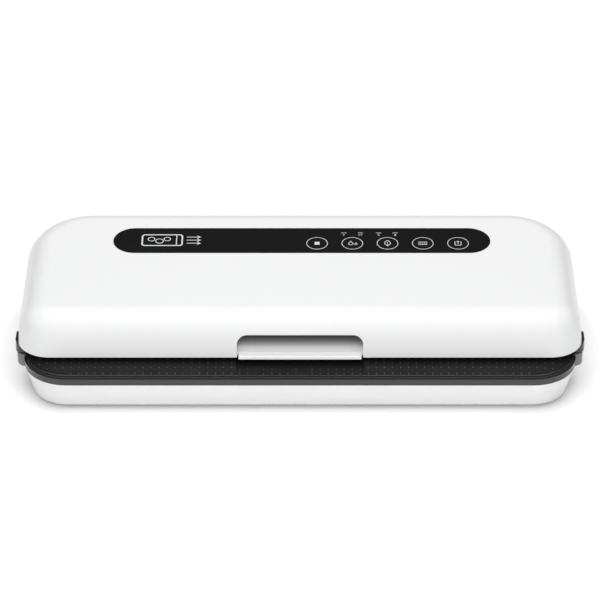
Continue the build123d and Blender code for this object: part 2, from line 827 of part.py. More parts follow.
def motor_rotor():
    """The motor's shaft and the eccentric that drives the pump."""
    rotor = rod_x(shaft_radius, motor_end_x - 8, motor_end_x + 22, pump_y, motor_z)
    eccentric_y = pump_y + eccentric_throw
    return rotor + rod_x(eccentric_radius, motor_end_x + 10, motor_end_x + 17, eccentric_y, motor_z)


def pump_crankcase():
    """Square case round the eccentric, open towards the head."""
    half = motor_radius - 0.5
    case = block(crank_x0, head_x0, pump_y - half, pump_y + half, motor_z - half, motor_z + half)
    case = fillet(case.edges().filter_by(Axis.X), 3.0)
    inner = half - crank_wall
    case -= block(crank_x0 + 2.5, head_x0 + 1, pump_y - inner, pump_y + inner,
                  motor_z - inner, motor_z + inner)
    return case - rod_x(4.1, crank_x0 - 1, crank_x0 + 4, pump_y, motor_z)


def pump_head():
    """Valve head that closes the crankcase, with the suction port facing the chamber."""
    half = motor_radius - 0.5
    head = block(head_x0, head_x0 + head_length, pump_y - half, pump_y + half, motor_z - half, motor_z + half)
    head = fillet(head.edges().filter_by(Axis.X), 3.0)
    port_end = pump_y - half - barb_length
    head += rod_y(barb_radius, nozzle_x, port_end, pump_y - half + 1, motor_z)
    return head - rod_y(barb_bore, nozzle_x, port_end - 1, pump_y - half + 5, motor_z)


def pump_mounts():
    """Rubber saddle under the motor."""
    saddle = block(motor_x + 6, motor_end_x - 6, pump_y - 9, pump_y + 9, liner_top, motor_z - 6)
    return saddle - rod_x(motor_radius + 0.1, motor_x, motor_end_x, pump_y, motor_z)


def suction_nozzle():
    """Elbow from the vacuum chamber's roof to the pump's hose."""
    end_y = tray_y + 10
    nozzle = post(nozzle_radius, nozzle_x, tray_y, pocket_top - 2, motor_z + nozzle_radius)
    nozzle += post(nozzle_radius + 2, nozzle_x, tray_y, pocket_top, pocket_top + 1.2)
    nozzle += rod_y(barb_radius, nozzle_x, tray_y, end_y, motor_z)
    nozzle -= post(barb_bore, nozzle_x, tray_y, pocket_top - 3, motor_z)
    return nozzle - rod_y(barb_bore, nozzle_x, tray_y, end_y + 1, motor_z)


def suction_hose():
    """Soft hose pushed over the two barbs."""
    y0 = tray_y + nozzle_radius + 0.5
    y1 = pump_y - motor_radius + 0.2
    hose = rod_y(hose_radius, nozzle_x, y0, y1, motor_z)
    return hose - rod_y(barb_radius + 0.03, nozzle_x, y0 - 1, y1 + 1, motor_z)


def valve_body():
    """Solenoid block of the release valve, on the chamber's roof."""
    half = valve_size / 2
    top = pocket_top + valve_height
    body = block(valve_x - half, valve_x + half, tray_y - half, tray_y + half, pocket_top, top)
    body = fillet(body.edges().filter_by(Axis.Z), 2.0)
    return body - post(plunger_radius + running_gap, valve_x, tray_y, pocket_top + 2, top + 1)


def valve_spring():
    coil = helix_spring(2.2, 0.3, 1.1, 4.4)
    return Pos(valve_x, tray_y, pocket_top + 2.35) * coil


def valve_plunger():
    z = pocket_top + 7.3
    return post(plunger_radius, valve_x, tray_y, z, pocket_top + valve_height + 1.0)


def pressure_sensor():
    sensor = post(sensor_radius, sensor_x, tray_y, pocket_top, pocket_top + 5)
    return sensor + post(2.0, sensor_x, tray_y, pocket_top + 5, pocket_top + 8)


def power_board():
    board = block(board_x0, board_x1, board_y0, board_y1, board_z, board_top)
    for x, y in board_posts:
        board -= post(1.3, x, y, board_z - 1, board_z + 3)
    return board


def board_screws():
    shanks = [post(1.1, x, y, liner_top + 1, board_top) for x, y in board_posts]
    heads = [post(2.2, x, y, board_top, board_top + 1.4) for x, y in board_posts]
    return [shank + head for shank, head in zip(shanks, heads)]


def transformer():
    """Iron core with its winding, near the right end of the board."""
    x = board_x1 - 30
    y = board_y0 + 18
    core = block(x - 16, x + 16, y - 12, y + 12, board_top, board_top + 15)
    coil = block(x - 11, x + 11, y - 14.5, y + 14.5, board_top + 2, board_top + 13)
    return core + coil


def board_parts():
    """Capacitors, relay and connectors on the power board."""
    capacitors = [(5.0, board_x0 + 66, board_y0 + 20, 13), (4.0, board_x0 + 54, board_y0 + 26, 11)]
    blocks = [(board_x0 + 32, board_y0 + 14, 14, 14, 10),
              (board_x0 + 12, board_y0 + 5, 14, 6, 8),
              (board_x0 + 34, board_y0 + 2.5, 14, 6, 8)]
    parts = [post(radius, x, y, board_top, board_top + height) for radius, x, y, height in capacitors]
    for x, y, width, depth, height in blocks:
        parts.append(block(x, x + width, y, y + depth, board_top, board_top + height))
    return parts


def motor_leads():
    """Two wires from the motor's end to the power board."""
    leads = []
    for shift in (0.0, 2.4):
        z = board_z + 0.8 + shift
        y = pump_y + motor_radius + 5
        board_end_y = board_y1 - 16
        points = [(motor_x - 0.2, pump_y, z + 4), (motor_x - 6, pump_y, z + 4), (motor_x - 6, y, z),
                  (board_x0 - 40, y, z), (board_x0 - 12, board_end_y, z), (board_x0 - 0.3, board_end_y, z)]
        path = FilletPolyline(*points, radius=lead_bend)
        start = Plane(origin=path @ 0, z_dir=path % 0)
        leads.append(sweep(start * Circle(lead_radius), path=path))
    return leads


def lid_switch():
    """Small switch that feels whether the lid is down."""
    body = block(-latch_x - 4, -latch_x + 4, tray_y - 10, tray_y + 10, liner_top, liner_top + 10)
    return body - post(1.2 + running_gap, -latch_x, tray_y, liner_top - 1, liner_top + 7)


def lid_switch_plunger():
    return post(1.2, -latch_x, tray_y, deck_top + 1.1, liner_top + 5.5)


def lid_screws():
    return [screw(x, y, lid_bottom + screw_head_height, 12.0) for x, y in lid_screw_places]


pieces = {
    "base_shell": base_shell(),
    "base_frame": base_frame(),
    "bag_deck": bag_deck(),
    "vacuum_tray": vacuum_tray(),
    "lower_gasket": lower_gasket(),
    "pressure_strip": pressure_strip(),
    "rubber_feet": rubber_feet(),
    "base_screws": base_screws(),
    "hinge_pins": hinge_pins(),
    "latch_pins": latch_pins(),
    "latch_springs": latch_springs(),
    "release_button_right": release_button(),
    "release_button_left": mirror(release_button(), about=Plane.YZ),
    "latch_lever_right": latch_lever(),
    "latch_lever_left": mirror(latch_lever(), about=Plane.YZ),
    "lid_cover": lid_cover(),
    "grip_insert": grip_insert(),
    "lid_liner": lid_liner(),
    "lid_catches": lid_catches(),
    "control_panel": control_panel(),
    "light_windows": light_windows(),
    "control_board": control_board(),
    "tact_switches": tact_switches(),
    "status_lights": status_lights(),
    "upper_gasket": upper_gasket(),
    "heater_bar": heater_bar(),
    "heating_strip": heating_strip(),
    "ptfe_tape": ptfe_tape(),
    "heater_terminals": heater_terminals(),
    "thermal_cutout": thermal_cutout(),
    "pump_motor": pump_motor(),
    "motor_rotor": motor_rotor(),
    "pump_crankcase": pump_crankcase(),
    "pump_head": pump_head(),
    "pump_mounts": pump_mounts(),
    "suction_nozzle": suction_nozzle(),
    "suction_hose": suction_hose(),
    "valve_body": valve_body(),
    "valve_plunger": valve_plunger(),
    "valve_spring": valve_spring(),
    "pressure_sensor": pressure_sensor(),
    "power_board": power_board(),
    "board_screws": board_screws(),
    "transformer": transformer(),
    "board_parts": board_parts(),
    "motor_leads": motor_leads(),
    "lid_switch": lid_switch(),
    "lid_switch_plunger": lid_switch_plunger(),
    "lid_screws": lid_screws(),
    "cord_gland": cord_gland(),
}
for index, name in enumerate(key_names):
    pieces[name] = key(index)

os.makedirs("parts", exist_ok=True)
for name, piece in pieces.items():
    solids = piece if isinstance(piece, list) else [piece]
    export_step(Compound(children=[s for group in solids for s in group.solids()]), f"parts/{name}.step")
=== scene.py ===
import math

import bmesh
import bpy
from mathutils import Matrix, Vector


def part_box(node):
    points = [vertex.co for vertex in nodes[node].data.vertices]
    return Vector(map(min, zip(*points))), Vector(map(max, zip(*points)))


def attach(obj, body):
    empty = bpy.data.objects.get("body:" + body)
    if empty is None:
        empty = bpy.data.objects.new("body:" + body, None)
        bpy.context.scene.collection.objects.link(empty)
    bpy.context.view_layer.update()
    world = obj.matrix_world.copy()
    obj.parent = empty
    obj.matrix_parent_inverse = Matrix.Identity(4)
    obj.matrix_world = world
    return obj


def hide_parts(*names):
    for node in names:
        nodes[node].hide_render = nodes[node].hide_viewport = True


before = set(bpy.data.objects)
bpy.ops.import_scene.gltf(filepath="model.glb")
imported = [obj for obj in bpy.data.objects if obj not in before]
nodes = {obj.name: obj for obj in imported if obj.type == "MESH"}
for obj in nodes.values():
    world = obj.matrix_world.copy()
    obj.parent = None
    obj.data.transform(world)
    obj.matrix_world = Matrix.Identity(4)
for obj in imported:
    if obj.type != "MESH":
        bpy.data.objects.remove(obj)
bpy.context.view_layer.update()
mm = 0.001


# ---------------------------------------------------------------------------
# Lower housing. One white ABS moulding, polished outside, tapering down to its
# feet, with bosses for the screws and ears for the latches inside.

def new_material(name, colour, roughness, **sockets):
    """A Principled material, with the values that don't vary set on its own sockets."""
    material = bpy.data.materials.new(name)
    material.use_nodes = True
    shader = material.node_tree.nodes["Principled BSDF"]
    shader.inputs["Base Color"].default_value = (*colour, 1.0)
    shader.inputs["Roughness"].default_value = roughness
    for socket, value in sockets.items():
        shader.inputs[socket.replace("_", " ")].default_value = value
    return material


def new_group(name, inputs, outputs):
    """An empty shader group with number inputs, and its two ends."""
    group = bpy.data.node_groups.new(name, "ShaderNodeTree")
    for label, value in inputs.items():
        socket = group.interface.new_socket(label, in_out="INPUT", socket_type="NodeSocketFloat")
        socket.default_value = value
    for label, kind in outputs.items():
        group.interface.new_socket(label, in_out="OUTPUT", socket_type="NodeSocket" + kind)
    return group, group.nodes.new("NodeGroupInput"), group.nodes.new("NodeGroupOutput")


def add(tree, kind, **settings):
    """A node; a setting that isn't one of its properties is the value of an input."""
    node = tree.nodes.new(kind)
    for label, value in settings.items():
        if hasattr(node, label):
            setattr(node, label, value)
        else:
            node.inputs[label.replace("_", " ")].default_value = value
    return node


def join(tree, *links):
    for source, target in links:
        tree.links.new(source, target)


def maths(tree, operation, first, second):
    """A Math node on two sockets or numbers, and its result."""
    node = add(tree, "ShaderNodeMath", operation=operation)
    for socket, value in zip(node.inputs, (first, second)):
        if isinstance(value, (int, float)):
            socket.default_value = value
        else:
            tree.links.new(value, socket)
    return node.outputs[0]


# The skin of any moulding: a long wave, a fine grain, and handling that dulls the gloss in patches.
skin, skin_in, skin_out = new_group(
    "moulded_skin",
    {"Wave size": 22.0, "Wave": 0.3, "Grain size": 900.0, "Grain": 0.2, "Gloss": 0.2, "Gloss change": 0.05},
    {"Height": "Float", "Roughness": "Float"})
skin_place = add(skin, "ShaderNodeTexCoord")
skin_wave = add(skin, "ShaderNodeTexNoise", Detail=2.0)
skin_grain = add(skin, "ShaderNodeTexNoise", Detail=3.0, Roughness=0.6)
skin_smear = add(skin, "ShaderNodeTexNoise", Scale=28.0, Detail=5.0, Roughness=0.65)
for texture in (skin_wave, skin_grain, skin_smear):
    join(skin, (skin_place.outputs["Object"], texture.inputs["Vector"]))
join(skin,
     (skin_in.outputs["Wave size"], skin_wave.inputs["Scale"]),
     (skin_in.outputs["Grain size"], skin_grain.inputs["Scale"]))
wave_height = maths(skin, "MULTIPLY", skin_wave.outputs["Fac"], skin_in.outputs["Wave"])
grain_height = maths(skin, "MULTIPLY", skin_grain.outputs["Fac"], skin_in.outputs["Grain"])
smear = maths(skin, "SUBTRACT", skin_smear.outputs["Fac"], 0.5)
smear = maths(skin, "MULTIPLY", smear, skin_in.outputs["Gloss change"])
join(skin,
     (maths(skin, "ADD", wave_height, grain_height), skin_out.inputs["Height"]),
     (maths(skin, "ADD", smear, skin_in.outputs["Gloss"]), skin_out.inputs["Roughness"]))

# Dust that settles on faces that look up, in soft patches; it lightens the colour a little.
dust, dust_in, dust_out = new_group(
    "settled_dust", {"Amount": 0.1, "Patch size": 40.0}, {"Mask": "Float"})
dust_place = add(dust, "ShaderNodeTexCoord")
dust_face = add(dust, "ShaderNodeNewGeometry")
dust_split = add(dust, "ShaderNodeSeparateXYZ")
dust_patch = add(dust, "ShaderNodeTexNoise", Detail=6.0, Roughness=0.7)
join(dust,
     (dust_place.outputs["Object"], dust_patch.inputs["Vector"]),
     (dust_in.outputs["Patch size"], dust_patch.inputs["Scale"]),
     (dust_face.outputs["Normal"], dust_split.inputs[0]))
upward = maths(dust, "MAXIMUM", dust_split.outputs["Z"], 0.15)
patch = maths(dust, "POWER", dust_patch.outputs["Fac"], 2.0)
join(dust, (maths(dust, "MULTIPLY", maths(dust, "MULTIPLY", upward, patch), dust_in.outputs["Amount"]),
            dust_out.inputs["Mask"]))


def mould(name, colour, gloss, depth, edge=0.0, dusty=0.0, **values):
    """A moulded plastic or rubber: the skin's relief is depth deep, and edge rounds sharp corners."""
    sockets = {key: values.pop(key) for key in list(values) if key[0].isupper() and key not in
               ("Wave_size", "Wave", "Grain_size", "Grain", "Gloss_change")}
    material = new_material(name, colour, gloss, **sockets)
    tree = material.node_tree
    shader = tree.nodes["Principled BSDF"]
    surface = add(tree, "ShaderNodeGroup", node_tree=skin)
    surface.inputs["Gloss"].default_value = gloss
    for label, value in values.items():
        surface.inputs[label.replace("_", " ")].default_value = value
    relief = add(tree, "ShaderNodeBump", Distance=depth)
    join(tree,
         (surface.outputs["Height"], relief.inputs["Height"]),
         (surface.outputs["Roughness"], shader.inputs["Roughness"]),
         (relief.outputs["Normal"], shader.inputs["Normal"]))
    if edge:
        soft_edge = add(tree, "ShaderNodeBevel", samples=6, Radius=edge)
        join(tree, (soft_edge.outputs["Normal"], relief.inputs["Normal"]))
    if dusty:
        layer = add(tree, "ShaderNodeGroup", node_tree=dust)
        layer.inputs["Amount"].default_value = dusty
        tint = add(tree, "ShaderNodeMix", data_type="RGBA")
        tint.inputs["A"].default_value = (*colour, 1.0)
        tint.inputs["B"].default_value = (0.42, 0.41, 0.39, 1.0)
        join(tree,
             (layer.outputs["Mask"], tint.inputs["Factor"]),
             (tint.outputs["Result"], shader.inputs["Base Color"]))
    return material


def dress(material, *names):
    """Gives CAD nodes one material."""
    for name in names:
        mesh = nodes[name].data
        mesh.materials.clear()
        mesh.materials.append(material)


white_plastic = mould("white_plastic", (0.76, 0.762, 0.766), 0.32, 0.04 * mm, edge=0.4 * mm, dusty=0.04,
                      Wave=1.0, Wave_size=26.0, Grain_size=1400.0, Grain=0.04, Gloss_change=0.1,
                      Coat_Weight=0.25, Coat_Roughness=0.2)
dress(white_plastic, "base_shell")


# ---------------------------------------------------------------------------
# Feet. Four black rubber buttons, pushed into the floor by their stems, with two
# grooves in each sole so that they grip the table.

foot_radius = 6.0
foot_height = 2.2
foot_sole = [(0.0, 0.5), (1.6, 0.5), (1.75, 0.0), (2.9, 0.0), (3.05, 0.45), (3.45, 0.45), (3.6, 0.0),
             (5.1, 0.0), (5.65, 0.22), (5.93, 0.7), (foot_radius, 1.25), (foot_radius, foot_height),
             (0.0, foot_height)]


def turn(bm, profile, place, segments=48):
    """Turns a profile of (radius, height) in mm about its own axis, and puts it in place."""
    rings = []
    for radius, height in profile:
        if radius == 0.0:
            rings.append([bm.verts.new(place @ Vector((0, 0, height * mm)))])
            continue
        angles = [2 * math.pi * step / segments for step in range(segments)]
        circle = [(radius * math.cos(a), radius * math.sin(a), height) for a in angles]
        rings.append([bm.verts.new(place @ (Vector(point) * mm)) for point in circle])
    for lower, upper in zip(rings, rings[1:]):
        for step in range(segments):
            after = (step + 1) % segments
            corners = [lower[step % len(lower)], lower[after % len(lower)],
                       upper[after % len(upper)], upper[step % len(upper)]]
            corners = [c for index, c in enumerate(corners) if c not in corners[:index]]
            if len(corners) > 2:
                bm.faces.new(corners)


def finish_piece(name, bm, material, body, replaced=(), smooth=35.0):
    """Closes a mesh into a piece that rides on a body and stands for the CAD nodes it replaces."""
    bmesh.ops.recalc_face_normals(bm, faces=bm.faces)
    mesh = bpy.data.meshes.new(name)
    bm.to_mesh(mesh)
    bm.free()
    mesh.materials.append(material)
    mesh.polygons.foreach_set("use_smooth", [True] * len(mesh.polygons))
    mesh.set_sharp_from_angle(angle=math.radians(smooth))
    piece = bpy.data.objects.new(name, mesh)
    bpy.context.scene.collection.objects.link(piece)
    if replaced:
        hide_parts(*replaced)
    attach(piece, body)
    return piece


rubber = mould("black_rubber", (0.022, 0.022, 0.023), 0.62, 0.06 * mm, dusty=0.12,
               Wave=0.3, Wave_size=160.0, Grain_size=2600.0, Grain=0.7, Gloss_change=0.2)
feet_low, feet_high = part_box("rubber_feet")
feet = bmesh.new()
for x in (feet_low[0] + foot_radius * mm, feet_high[0] - foot_radius * mm):
    for y in (feet_low[1] + foot_radius * mm, feet_high[1] - foot_radius * mm):
        turn(feet, foot_sole, Matrix.Translation((x, y, feet_low[2])))
finish_piece("foot_pads", feet, rubber, "base", ["rubber_feet"])


# ---------------------------------------------------------------------------
# Fasteners and pins. Zinc-plated steel screws from below and inside, turned steel
# pins in the hinges and latches. The plating is fine-brushed and slightly uneven.

metal, metal_in, metal_out = new_group(
    "metal_finish",
    {"Brush along": 60.0, "Brush across": 2400.0, "Gloss": 0.3, "Gloss change": 0.2, "Stain size": 120.0},
    {"Height": "Float", "Roughness": "Float", "Stain": "Float"})
metal_place = add(metal, "ShaderNodeTexCoord")
metal_stretch = add(metal, "ShaderNodeCombineXYZ")
metal_scale = add(metal, "ShaderNodeVectorMath", operation="MULTIPLY")
metal_brush = add(metal, "ShaderNodeTexNoise", Scale=1.0, Detail=3.0)
metal_stain = add(metal, "ShaderNodeTexNoise", Detail=5.0, Roughness=0.7)
join(metal,
     (metal_in.outputs["Brush along"], metal_stretch.inputs["X"]),
     (metal_in.outputs["Brush across"], metal_stretch.inputs["Y"]),
     (metal_in.outputs["Brush across"], metal_stretch.inputs["Z"]),
     (metal_place.outputs["Object"], metal_scale.inputs[0]),
     (metal_stretch.outputs[0], metal_scale.inputs[1]),
     (metal_scale.outputs[0], metal_brush.inputs["Vector"]),
     (metal_place.outputs["Object"], metal_stain.inputs["Vector"]),
     (metal_in.outputs["Stain size"], metal_stain.inputs["Scale"]),
     (metal_brush.outputs["Fac"], metal_out.inputs["Height"]),
     (metal_stain.outputs["Fac"], metal_out.inputs["Stain"]))
streaks = maths(metal, "SUBTRACT", metal_brush.outputs["Fac"], 0.5)
streaks = maths(metal, "MULTIPLY", streaks, metal_in.outputs["Gloss change"])
join(metal, (maths(metal, "ADD", streaks, metal_in.outputs["Gloss"]), metal_out.inputs["Roughness"]))


def plate_metal(name, bright, dull, gloss, depth, edge=0.15 * mm, **values):
    """A metal whose colour shifts from bright to dull with its stains."""
    material = new_material(name, bright, gloss, Metallic=1.0)
    tree = material.node_tree
    shader = tree.nodes["Principled BSDF"]
    surface = add(tree, "ShaderNodeGroup", node_tree=metal)
    surface.inputs["Gloss"].default_value = gloss
    for label, value in values.items():
        surface.inputs[label.replace("_", " ")].default_value = value
    relief = add(tree, "ShaderNodeBump", Distance=depth)
    soft_edge = add(tree, "ShaderNodeBevel", samples=4, Radius=edge)
    tint = add(tree, "ShaderNodeMix", data_type="RGBA")
    tint.inputs["A"].default_value = (*dull, 1.0)
    tint.inputs["B"].default_value = (*bright, 1.0)
    join(tree,
         (surface.outputs["Stain"], tint.inputs["Factor"]),
         (tint.outputs["Result"], shader.inputs["Base Color"]),
         (surface.outputs["Height"], relief.inputs["Height"]),
         (surface.outputs["Roughness"], shader.inputs["Roughness"]),
         (soft_edge.outputs["Normal"], relief.inputs["Normal"]),
         (relief.outputs["Normal"], shader.inputs["Normal"]))
    return material


zinc = plate_metal("zinc_plated_steel", (0.72, 0.73, 0.75), (0.45, 0.45, 0.44), 0.3, 0.004 * mm)
dress(zinc, "base_screws", "hinge_pins", "latch_pins", "latch_springs")


# ---------------------------------------------------------------------------
# Rim. Black ABS frame between the white shell and the bag plate, with two fine
# steps, glossier than the plate, and a cheek on each side beside the lid.

rim_plastic = mould("black_rim_plastic", (0.019, 0.019, 0.02), 0.24, 0.03 * mm, edge=0.25 * mm,
                    Wave=0.6, Wave_size=60.0, Grain_size=2400.0, Grain=0.12, Gloss_change=0.1,
                    Specular_IOR_Level=0.68)
dress(rim_plastic, "base_frame")


# ---------------------------------------------------------------------------
# Bag plate. Black ABS with a spark-eroded satin face and rows of small raised
# dots that let air out under the bag. The dots are moulded with the plate; their colour is a painted glint.

plate_plastic = mould("black_plate_plastic", (0.012, 0.012, 0.0125), 0.45, 0.035 * mm,
                      edge=0.25 * mm, dusty=0.02, Wave=0.4, Wave_size=90.0, Grain_size=3200.0,
                      Grain=1.0, Gloss_change=0.16, Specular_IOR_Level=0.14)
dress(plate_plastic, "bag_deck")

dot_pitch_x = 5.157
dot_pitch_y = 5.0
dot_columns = 66
dot_rows = 29
dot_first_row = -74.7
dot_radius = 0.55
dot_rise = 0.3
dot_clearance = 0.45
dot_level_within = 0.62
dot_front_band = -66.0


def new_shape(name, inputs):
    """An empty Geometry Nodes tree with its inputs, and its two ends."""
    tree = bpy.data.node_groups.new(name, "GeometryNodeTree")
    tree.interface.new_socket("Geometry", in_out="INPUT", socket_type="NodeSocketGeometry")
    for label, kind in inputs.items():
        tree.interface.new_socket(label, in_out="INPUT", socket_type="NodeSocket" + kind)
    tree.interface.new_socket("Geometry", in_out="OUTPUT", socket_type="NodeSocketGeometry")
    return tree, tree.nodes.new("NodeGroupInput"), tree.nodes.new("NodeGroupOutput")


def grow(tree, name, body, slot, replaced=(), **values):
    """Runs a tree with its sizes and keeps the result as a plain mesh on a body."""
    piece = bpy.data.objects.new(name, bpy.data.meshes.new(name))
    bpy.context.scene.collection.objects.link(piece)
    modifier = piece.modifiers.new("shape", "NODES")
    modifier.node_group = tree
    for item in tree.interface.items_tree:
        if item.in_out == "INPUT" and item.name.replace(" ", "_") in values:
            modifier[item.identifier] = values[item.name.replace(" ", "_")]
    view = bpy.context.evaluated_depsgraph_get()
    plain = bpy.data.meshes.new_from_object(piece.evaluated_get(view), depsgraph=view)
    piece.modifiers.remove(modifier)
    piece.data = plain
    plain.name = name
    if replaced:
        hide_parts(*replaced)
    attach(piece, body)
    return piece


dots, dots_in, dots_out = new_shape("moulded_dots", {
    "Plate": "Object", "Pitch X": "Float", "Pitch Y": "Float", "Columns": "Int", "Rows": "Int",
    "First row": "Float", "Radius": "Float", "Rise": "Float", "Top": "Float", "Front": "Float",
    "Material": "Material"})
plate_shape = add(dots, "GeometryNodeObjectInfo", transform_space="ORIGINAL")
dot_grid = add(dots, "GeometryNodeMeshGrid")
columns_less = maths(dots, "SUBTRACT", dots_in.outputs["Columns"], 1.0)
rows_less = maths(dots, "SUBTRACT", dots_in.outputs["Rows"], 1.0)
span_x = maths(dots, "MULTIPLY", columns_less, dots_in.outputs["Pitch X"])
span_y = maths(dots, "MULTIPLY", rows_less, dots_in.outputs["Pitch Y"])
middle_y = maths(dots, "ADD", maths(dots, "MULTIPLY", span_y, 0.5), dots_in.outputs["First row"])
grid_place = add(dots, "ShaderNodeCombineXYZ", Z=0.1)
grid_shift = add(dots, "GeometryNodeTransform")
join(dots,
     (dots_in.outputs["Plate"], plate_shape.inputs["Object"]),
     (middle_y, grid_place.inputs["Y"]),
     (span_x, dot_grid.inputs["Size X"]),
     (span_y, dot_grid.inputs["Size Y"]),
     (dots_in.outputs["Columns"], dot_grid.inputs["Vertices X"]),
     (dots_in.outputs["Rows"], dot_grid.inputs["Vertices Y"]),
     (dot_grid.outputs["Mesh"], grid_shift.inputs["Geometry"]),
     (grid_place.outputs[0], grid_shift.inputs["Translation"]))


def drop_onto_plate(shift_x, shift_y):
    """Where a point moved sideways lands on the plate: the hit, its height and its normal."""
    here = add(dots, "GeometryNodeInputPosition")
    offset = add(dots, "ShaderNodeVectorMath", operation="ADD")
    offset.inputs[1].default_value = (shift_x, shift_y, 0.0)
    ray = add(dots, "GeometryNodeRaycast", data_type="FLOAT")
    ray.inputs["Ray Direction"].default_value = (0, 0, -1)
    ray.inputs["Ray Length"].default_value = 0.2
    height = add(dots, "ShaderNodeSeparateXYZ")
    join(dots,
         (plate_shape.outputs["Geometry"], ray.inputs["Target Geometry"]),
         (here.outputs[0], offset.inputs[0]),
         (offset.outputs[0], ray.inputs["Source Position"]),
         (ray.outputs["Hit Position"], height.inputs[0]))
    return ray, height.outputs["Z"]


centre_ray, centre_height = drop_onto_plate(0.0, 0.0)
reach = dot_clearance * mm
edge_heights = [drop_onto_plate(x, y)[1] for x, y in ((reach, 0.0), (-reach, 0.0), (0.0, reach), (0.0, -reach))]
lowest = highest = centre_height
for height in edge_heights:
    lowest = maths(dots, "MINIMUM", lowest, height)
    highest = maths(dots, "MAXIMUM", highest, height)
level = maths(dots, "LESS_THAN", maths(dots, "SUBTRACT", highest, lowest), dot_level_within * mm)
on_top_face = maths(dots, "COMPARE", centre_height, dots_in.outputs["Top"])
on_top_face.node.inputs[2].default_value = 0.05 * mm
normal_split = add(dots, "ShaderNodeSeparateXYZ")
join(dots, (centre_ray.outputs["Hit Normal"], normal_split.inputs[0]))
on_slope = maths(dots, "LESS_THAN", normal_split.outputs["Z"], 0.99)
position_split = add(dots, "ShaderNodeSeparateXYZ")
join(dots, (centre_ray.outputs["Hit Position"], position_split.inputs[0]))
in_front = maths(dots, "LESS_THAN", position_split.outputs["Y"], dots_in.outputs["Front"])
allowed = maths(dots, "MAXIMUM", maths(dots, "MAXIMUM", on_top_face, on_slope), in_front)
allowed = maths(dots, "MULTIPLY", allowed, level)
allowed = maths(dots, "MULTIPLY", allowed, centre_ray.outputs["Is Hit"])
refused = maths(dots, "SUBTRACT", 1.0, allowed)
lean_field = add(dots, "GeometryNodeCaptureAttribute", domain="POINT")
lean_field.capture_items.new("VECTOR", "Lean")
chosen = add(dots, "GeometryNodeDeleteGeometry", domain="POINT")
dropped = add(dots, "GeometryNodeSetPosition")
kept = add(dots, "GeometryNodeMeshToPoints")
dot_shape = add(dots, "GeometryNodeMeshUVSphere", Segments=10, Rings=6, Radius=1.0)
dot_size = add(dots, "ShaderNodeCombineXYZ")
dot_lean = add(dots, "FunctionNodeAlignRotationToVector", axis="Z")
placed = add(dots, "GeometryNodeInstanceOnPoints")
real = add(dots, "GeometryNodeRealizeInstances")
smoothed = add(dots, "GeometryNodeSetShadeSmooth")
painted = add(dots, "GeometryNodeSetMaterial")
join(dots,
     (grid_shift.outputs["Geometry"], lean_field.inputs["Geometry"]),
     (centre_ray.outputs["Hit Normal"], lean_field.inputs["Lean"]),
     (lean_field.outputs["Geometry"], chosen.inputs["Geometry"]),
     (refused, chosen.inputs["Selection"]),
     (chosen.outputs["Geometry"], dropped.inputs["Geometry"]),
     (centre_ray.outputs["Hit Position"], dropped.inputs["Position"]),
     (dropped.outputs["Geometry"], kept.inputs["Mesh"]),
     (kept.outputs["Points"], placed.inputs["Points"]),
     (dot_shape.outputs["Mesh"], placed.inputs["Instance"]),
     (lean_field.outputs["Lean"], dot_lean.inputs["Vector"]),
     (dot_lean.outputs["Rotation"], placed.inputs["Rotation"]),
     (dots_in.outputs["Radius"], dot_size.inputs["X"]),
     (dots_in.outputs["Radius"], dot_size.inputs["Y"]),
     (dots_in.outputs["Rise"], dot_size.inputs["Z"]),
     (dot_size.outputs[0], placed.inputs["Scale"]),
     (placed.outputs["Instances"], real.inputs["Geometry"]),
     (real.outputs["Geometry"], smoothed.inputs["Geometry"]),
     (smoothed.outputs["Geometry"], painted.inputs["Geometry"]),
     (dots_in.outputs["Material"], painted.inputs["Material"]),
     (painted.outputs["Geometry"], dots_out.inputs["Geometry"]))

gasket_proud = 2.1
plate_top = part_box("lower_gasket")[1][2] - gasket_proud * mm
# The dots are real glossy bumps. Their colour is lighter than the plate's, and this is a painted glint.
dot_plastic_painted_glint = mould("black_dot_plastic", (0.05, 0.05, 0.052), 0.28, 0.01 * mm, Wave=0.2, Grain_size=2400.0,
                    Grain=0.2, Gloss_change=0.1, Specular_IOR_Level=0.9)
grow(dots, "air_dots", "base", "black_satin", Plate=nodes["bag_deck"], Material=dot_plastic_painted_glint,
     Pitch_X=dot_pitch_x * mm, Pitch_Y=dot_pitch_y * mm, Columns=dot_columns, Rows=dot_rows,
     First_row=dot_first_row * mm, Radius=dot_radius * mm, Rise=dot_rise * mm,
     Top=plate_top, Front=dot_front_band * mm)


# ---------------------------------------------------------------------------
# Vacuum chamber. A loose tray of glossy black ABS hangs in the plate, and a ring of
# closed-cell foam on each side of the bag seals it.

tray_plastic = mould("black_tray_plastic", (0.013, 0.013, 0.014), 0.16, 0.04 * mm, edge=0.3 * mm, dusty=0.04,
                     Wave=0.8, Wave_size=40.0, Grain_size=1800.0, Grain=0.05, Gloss_change=0.14)
dress(tray_plastic, "vacuum_tray")

foam = new_material("closed_cell_foam", (0.055, 0.055, 0.058), 0.85, Sheen_Weight=0.15)
foam_tree = foam.node_tree
foam_shader = foam_tree.nodes["Principled BSDF"]
foam_place = add(foam_tree, "ShaderNodeTexCoord")
foam_cells = add(foam_tree, "ShaderNodeTexVoronoi", Scale=1900.0, feature="SMOOTH_F1", Smoothness=0.4)
foam_skin = add(foam_tree, "ShaderNodeTexNoise", Scale=350.0, Detail=5.0, Roughness=0.7)
foam_relief = add(foam_tree, "ShaderNodeBump", Distance=0.22 * mm, Strength=0.9)
foam_depth = maths(foam_tree, "ADD", foam_cells.outputs["Distance"], maths(
    foam_tree, "MULTIPLY", foam_skin.outputs["Fac"], 0.6))
foam_tint = add(foam_tree, "ShaderNodeMix", data_type="RGBA")
foam_tint.inputs["A"].default_value = (0.028, 0.028, 0.03, 1.0)
foam_tint.inputs["B"].default_value = (0.085, 0.085, 0.09, 1.0)
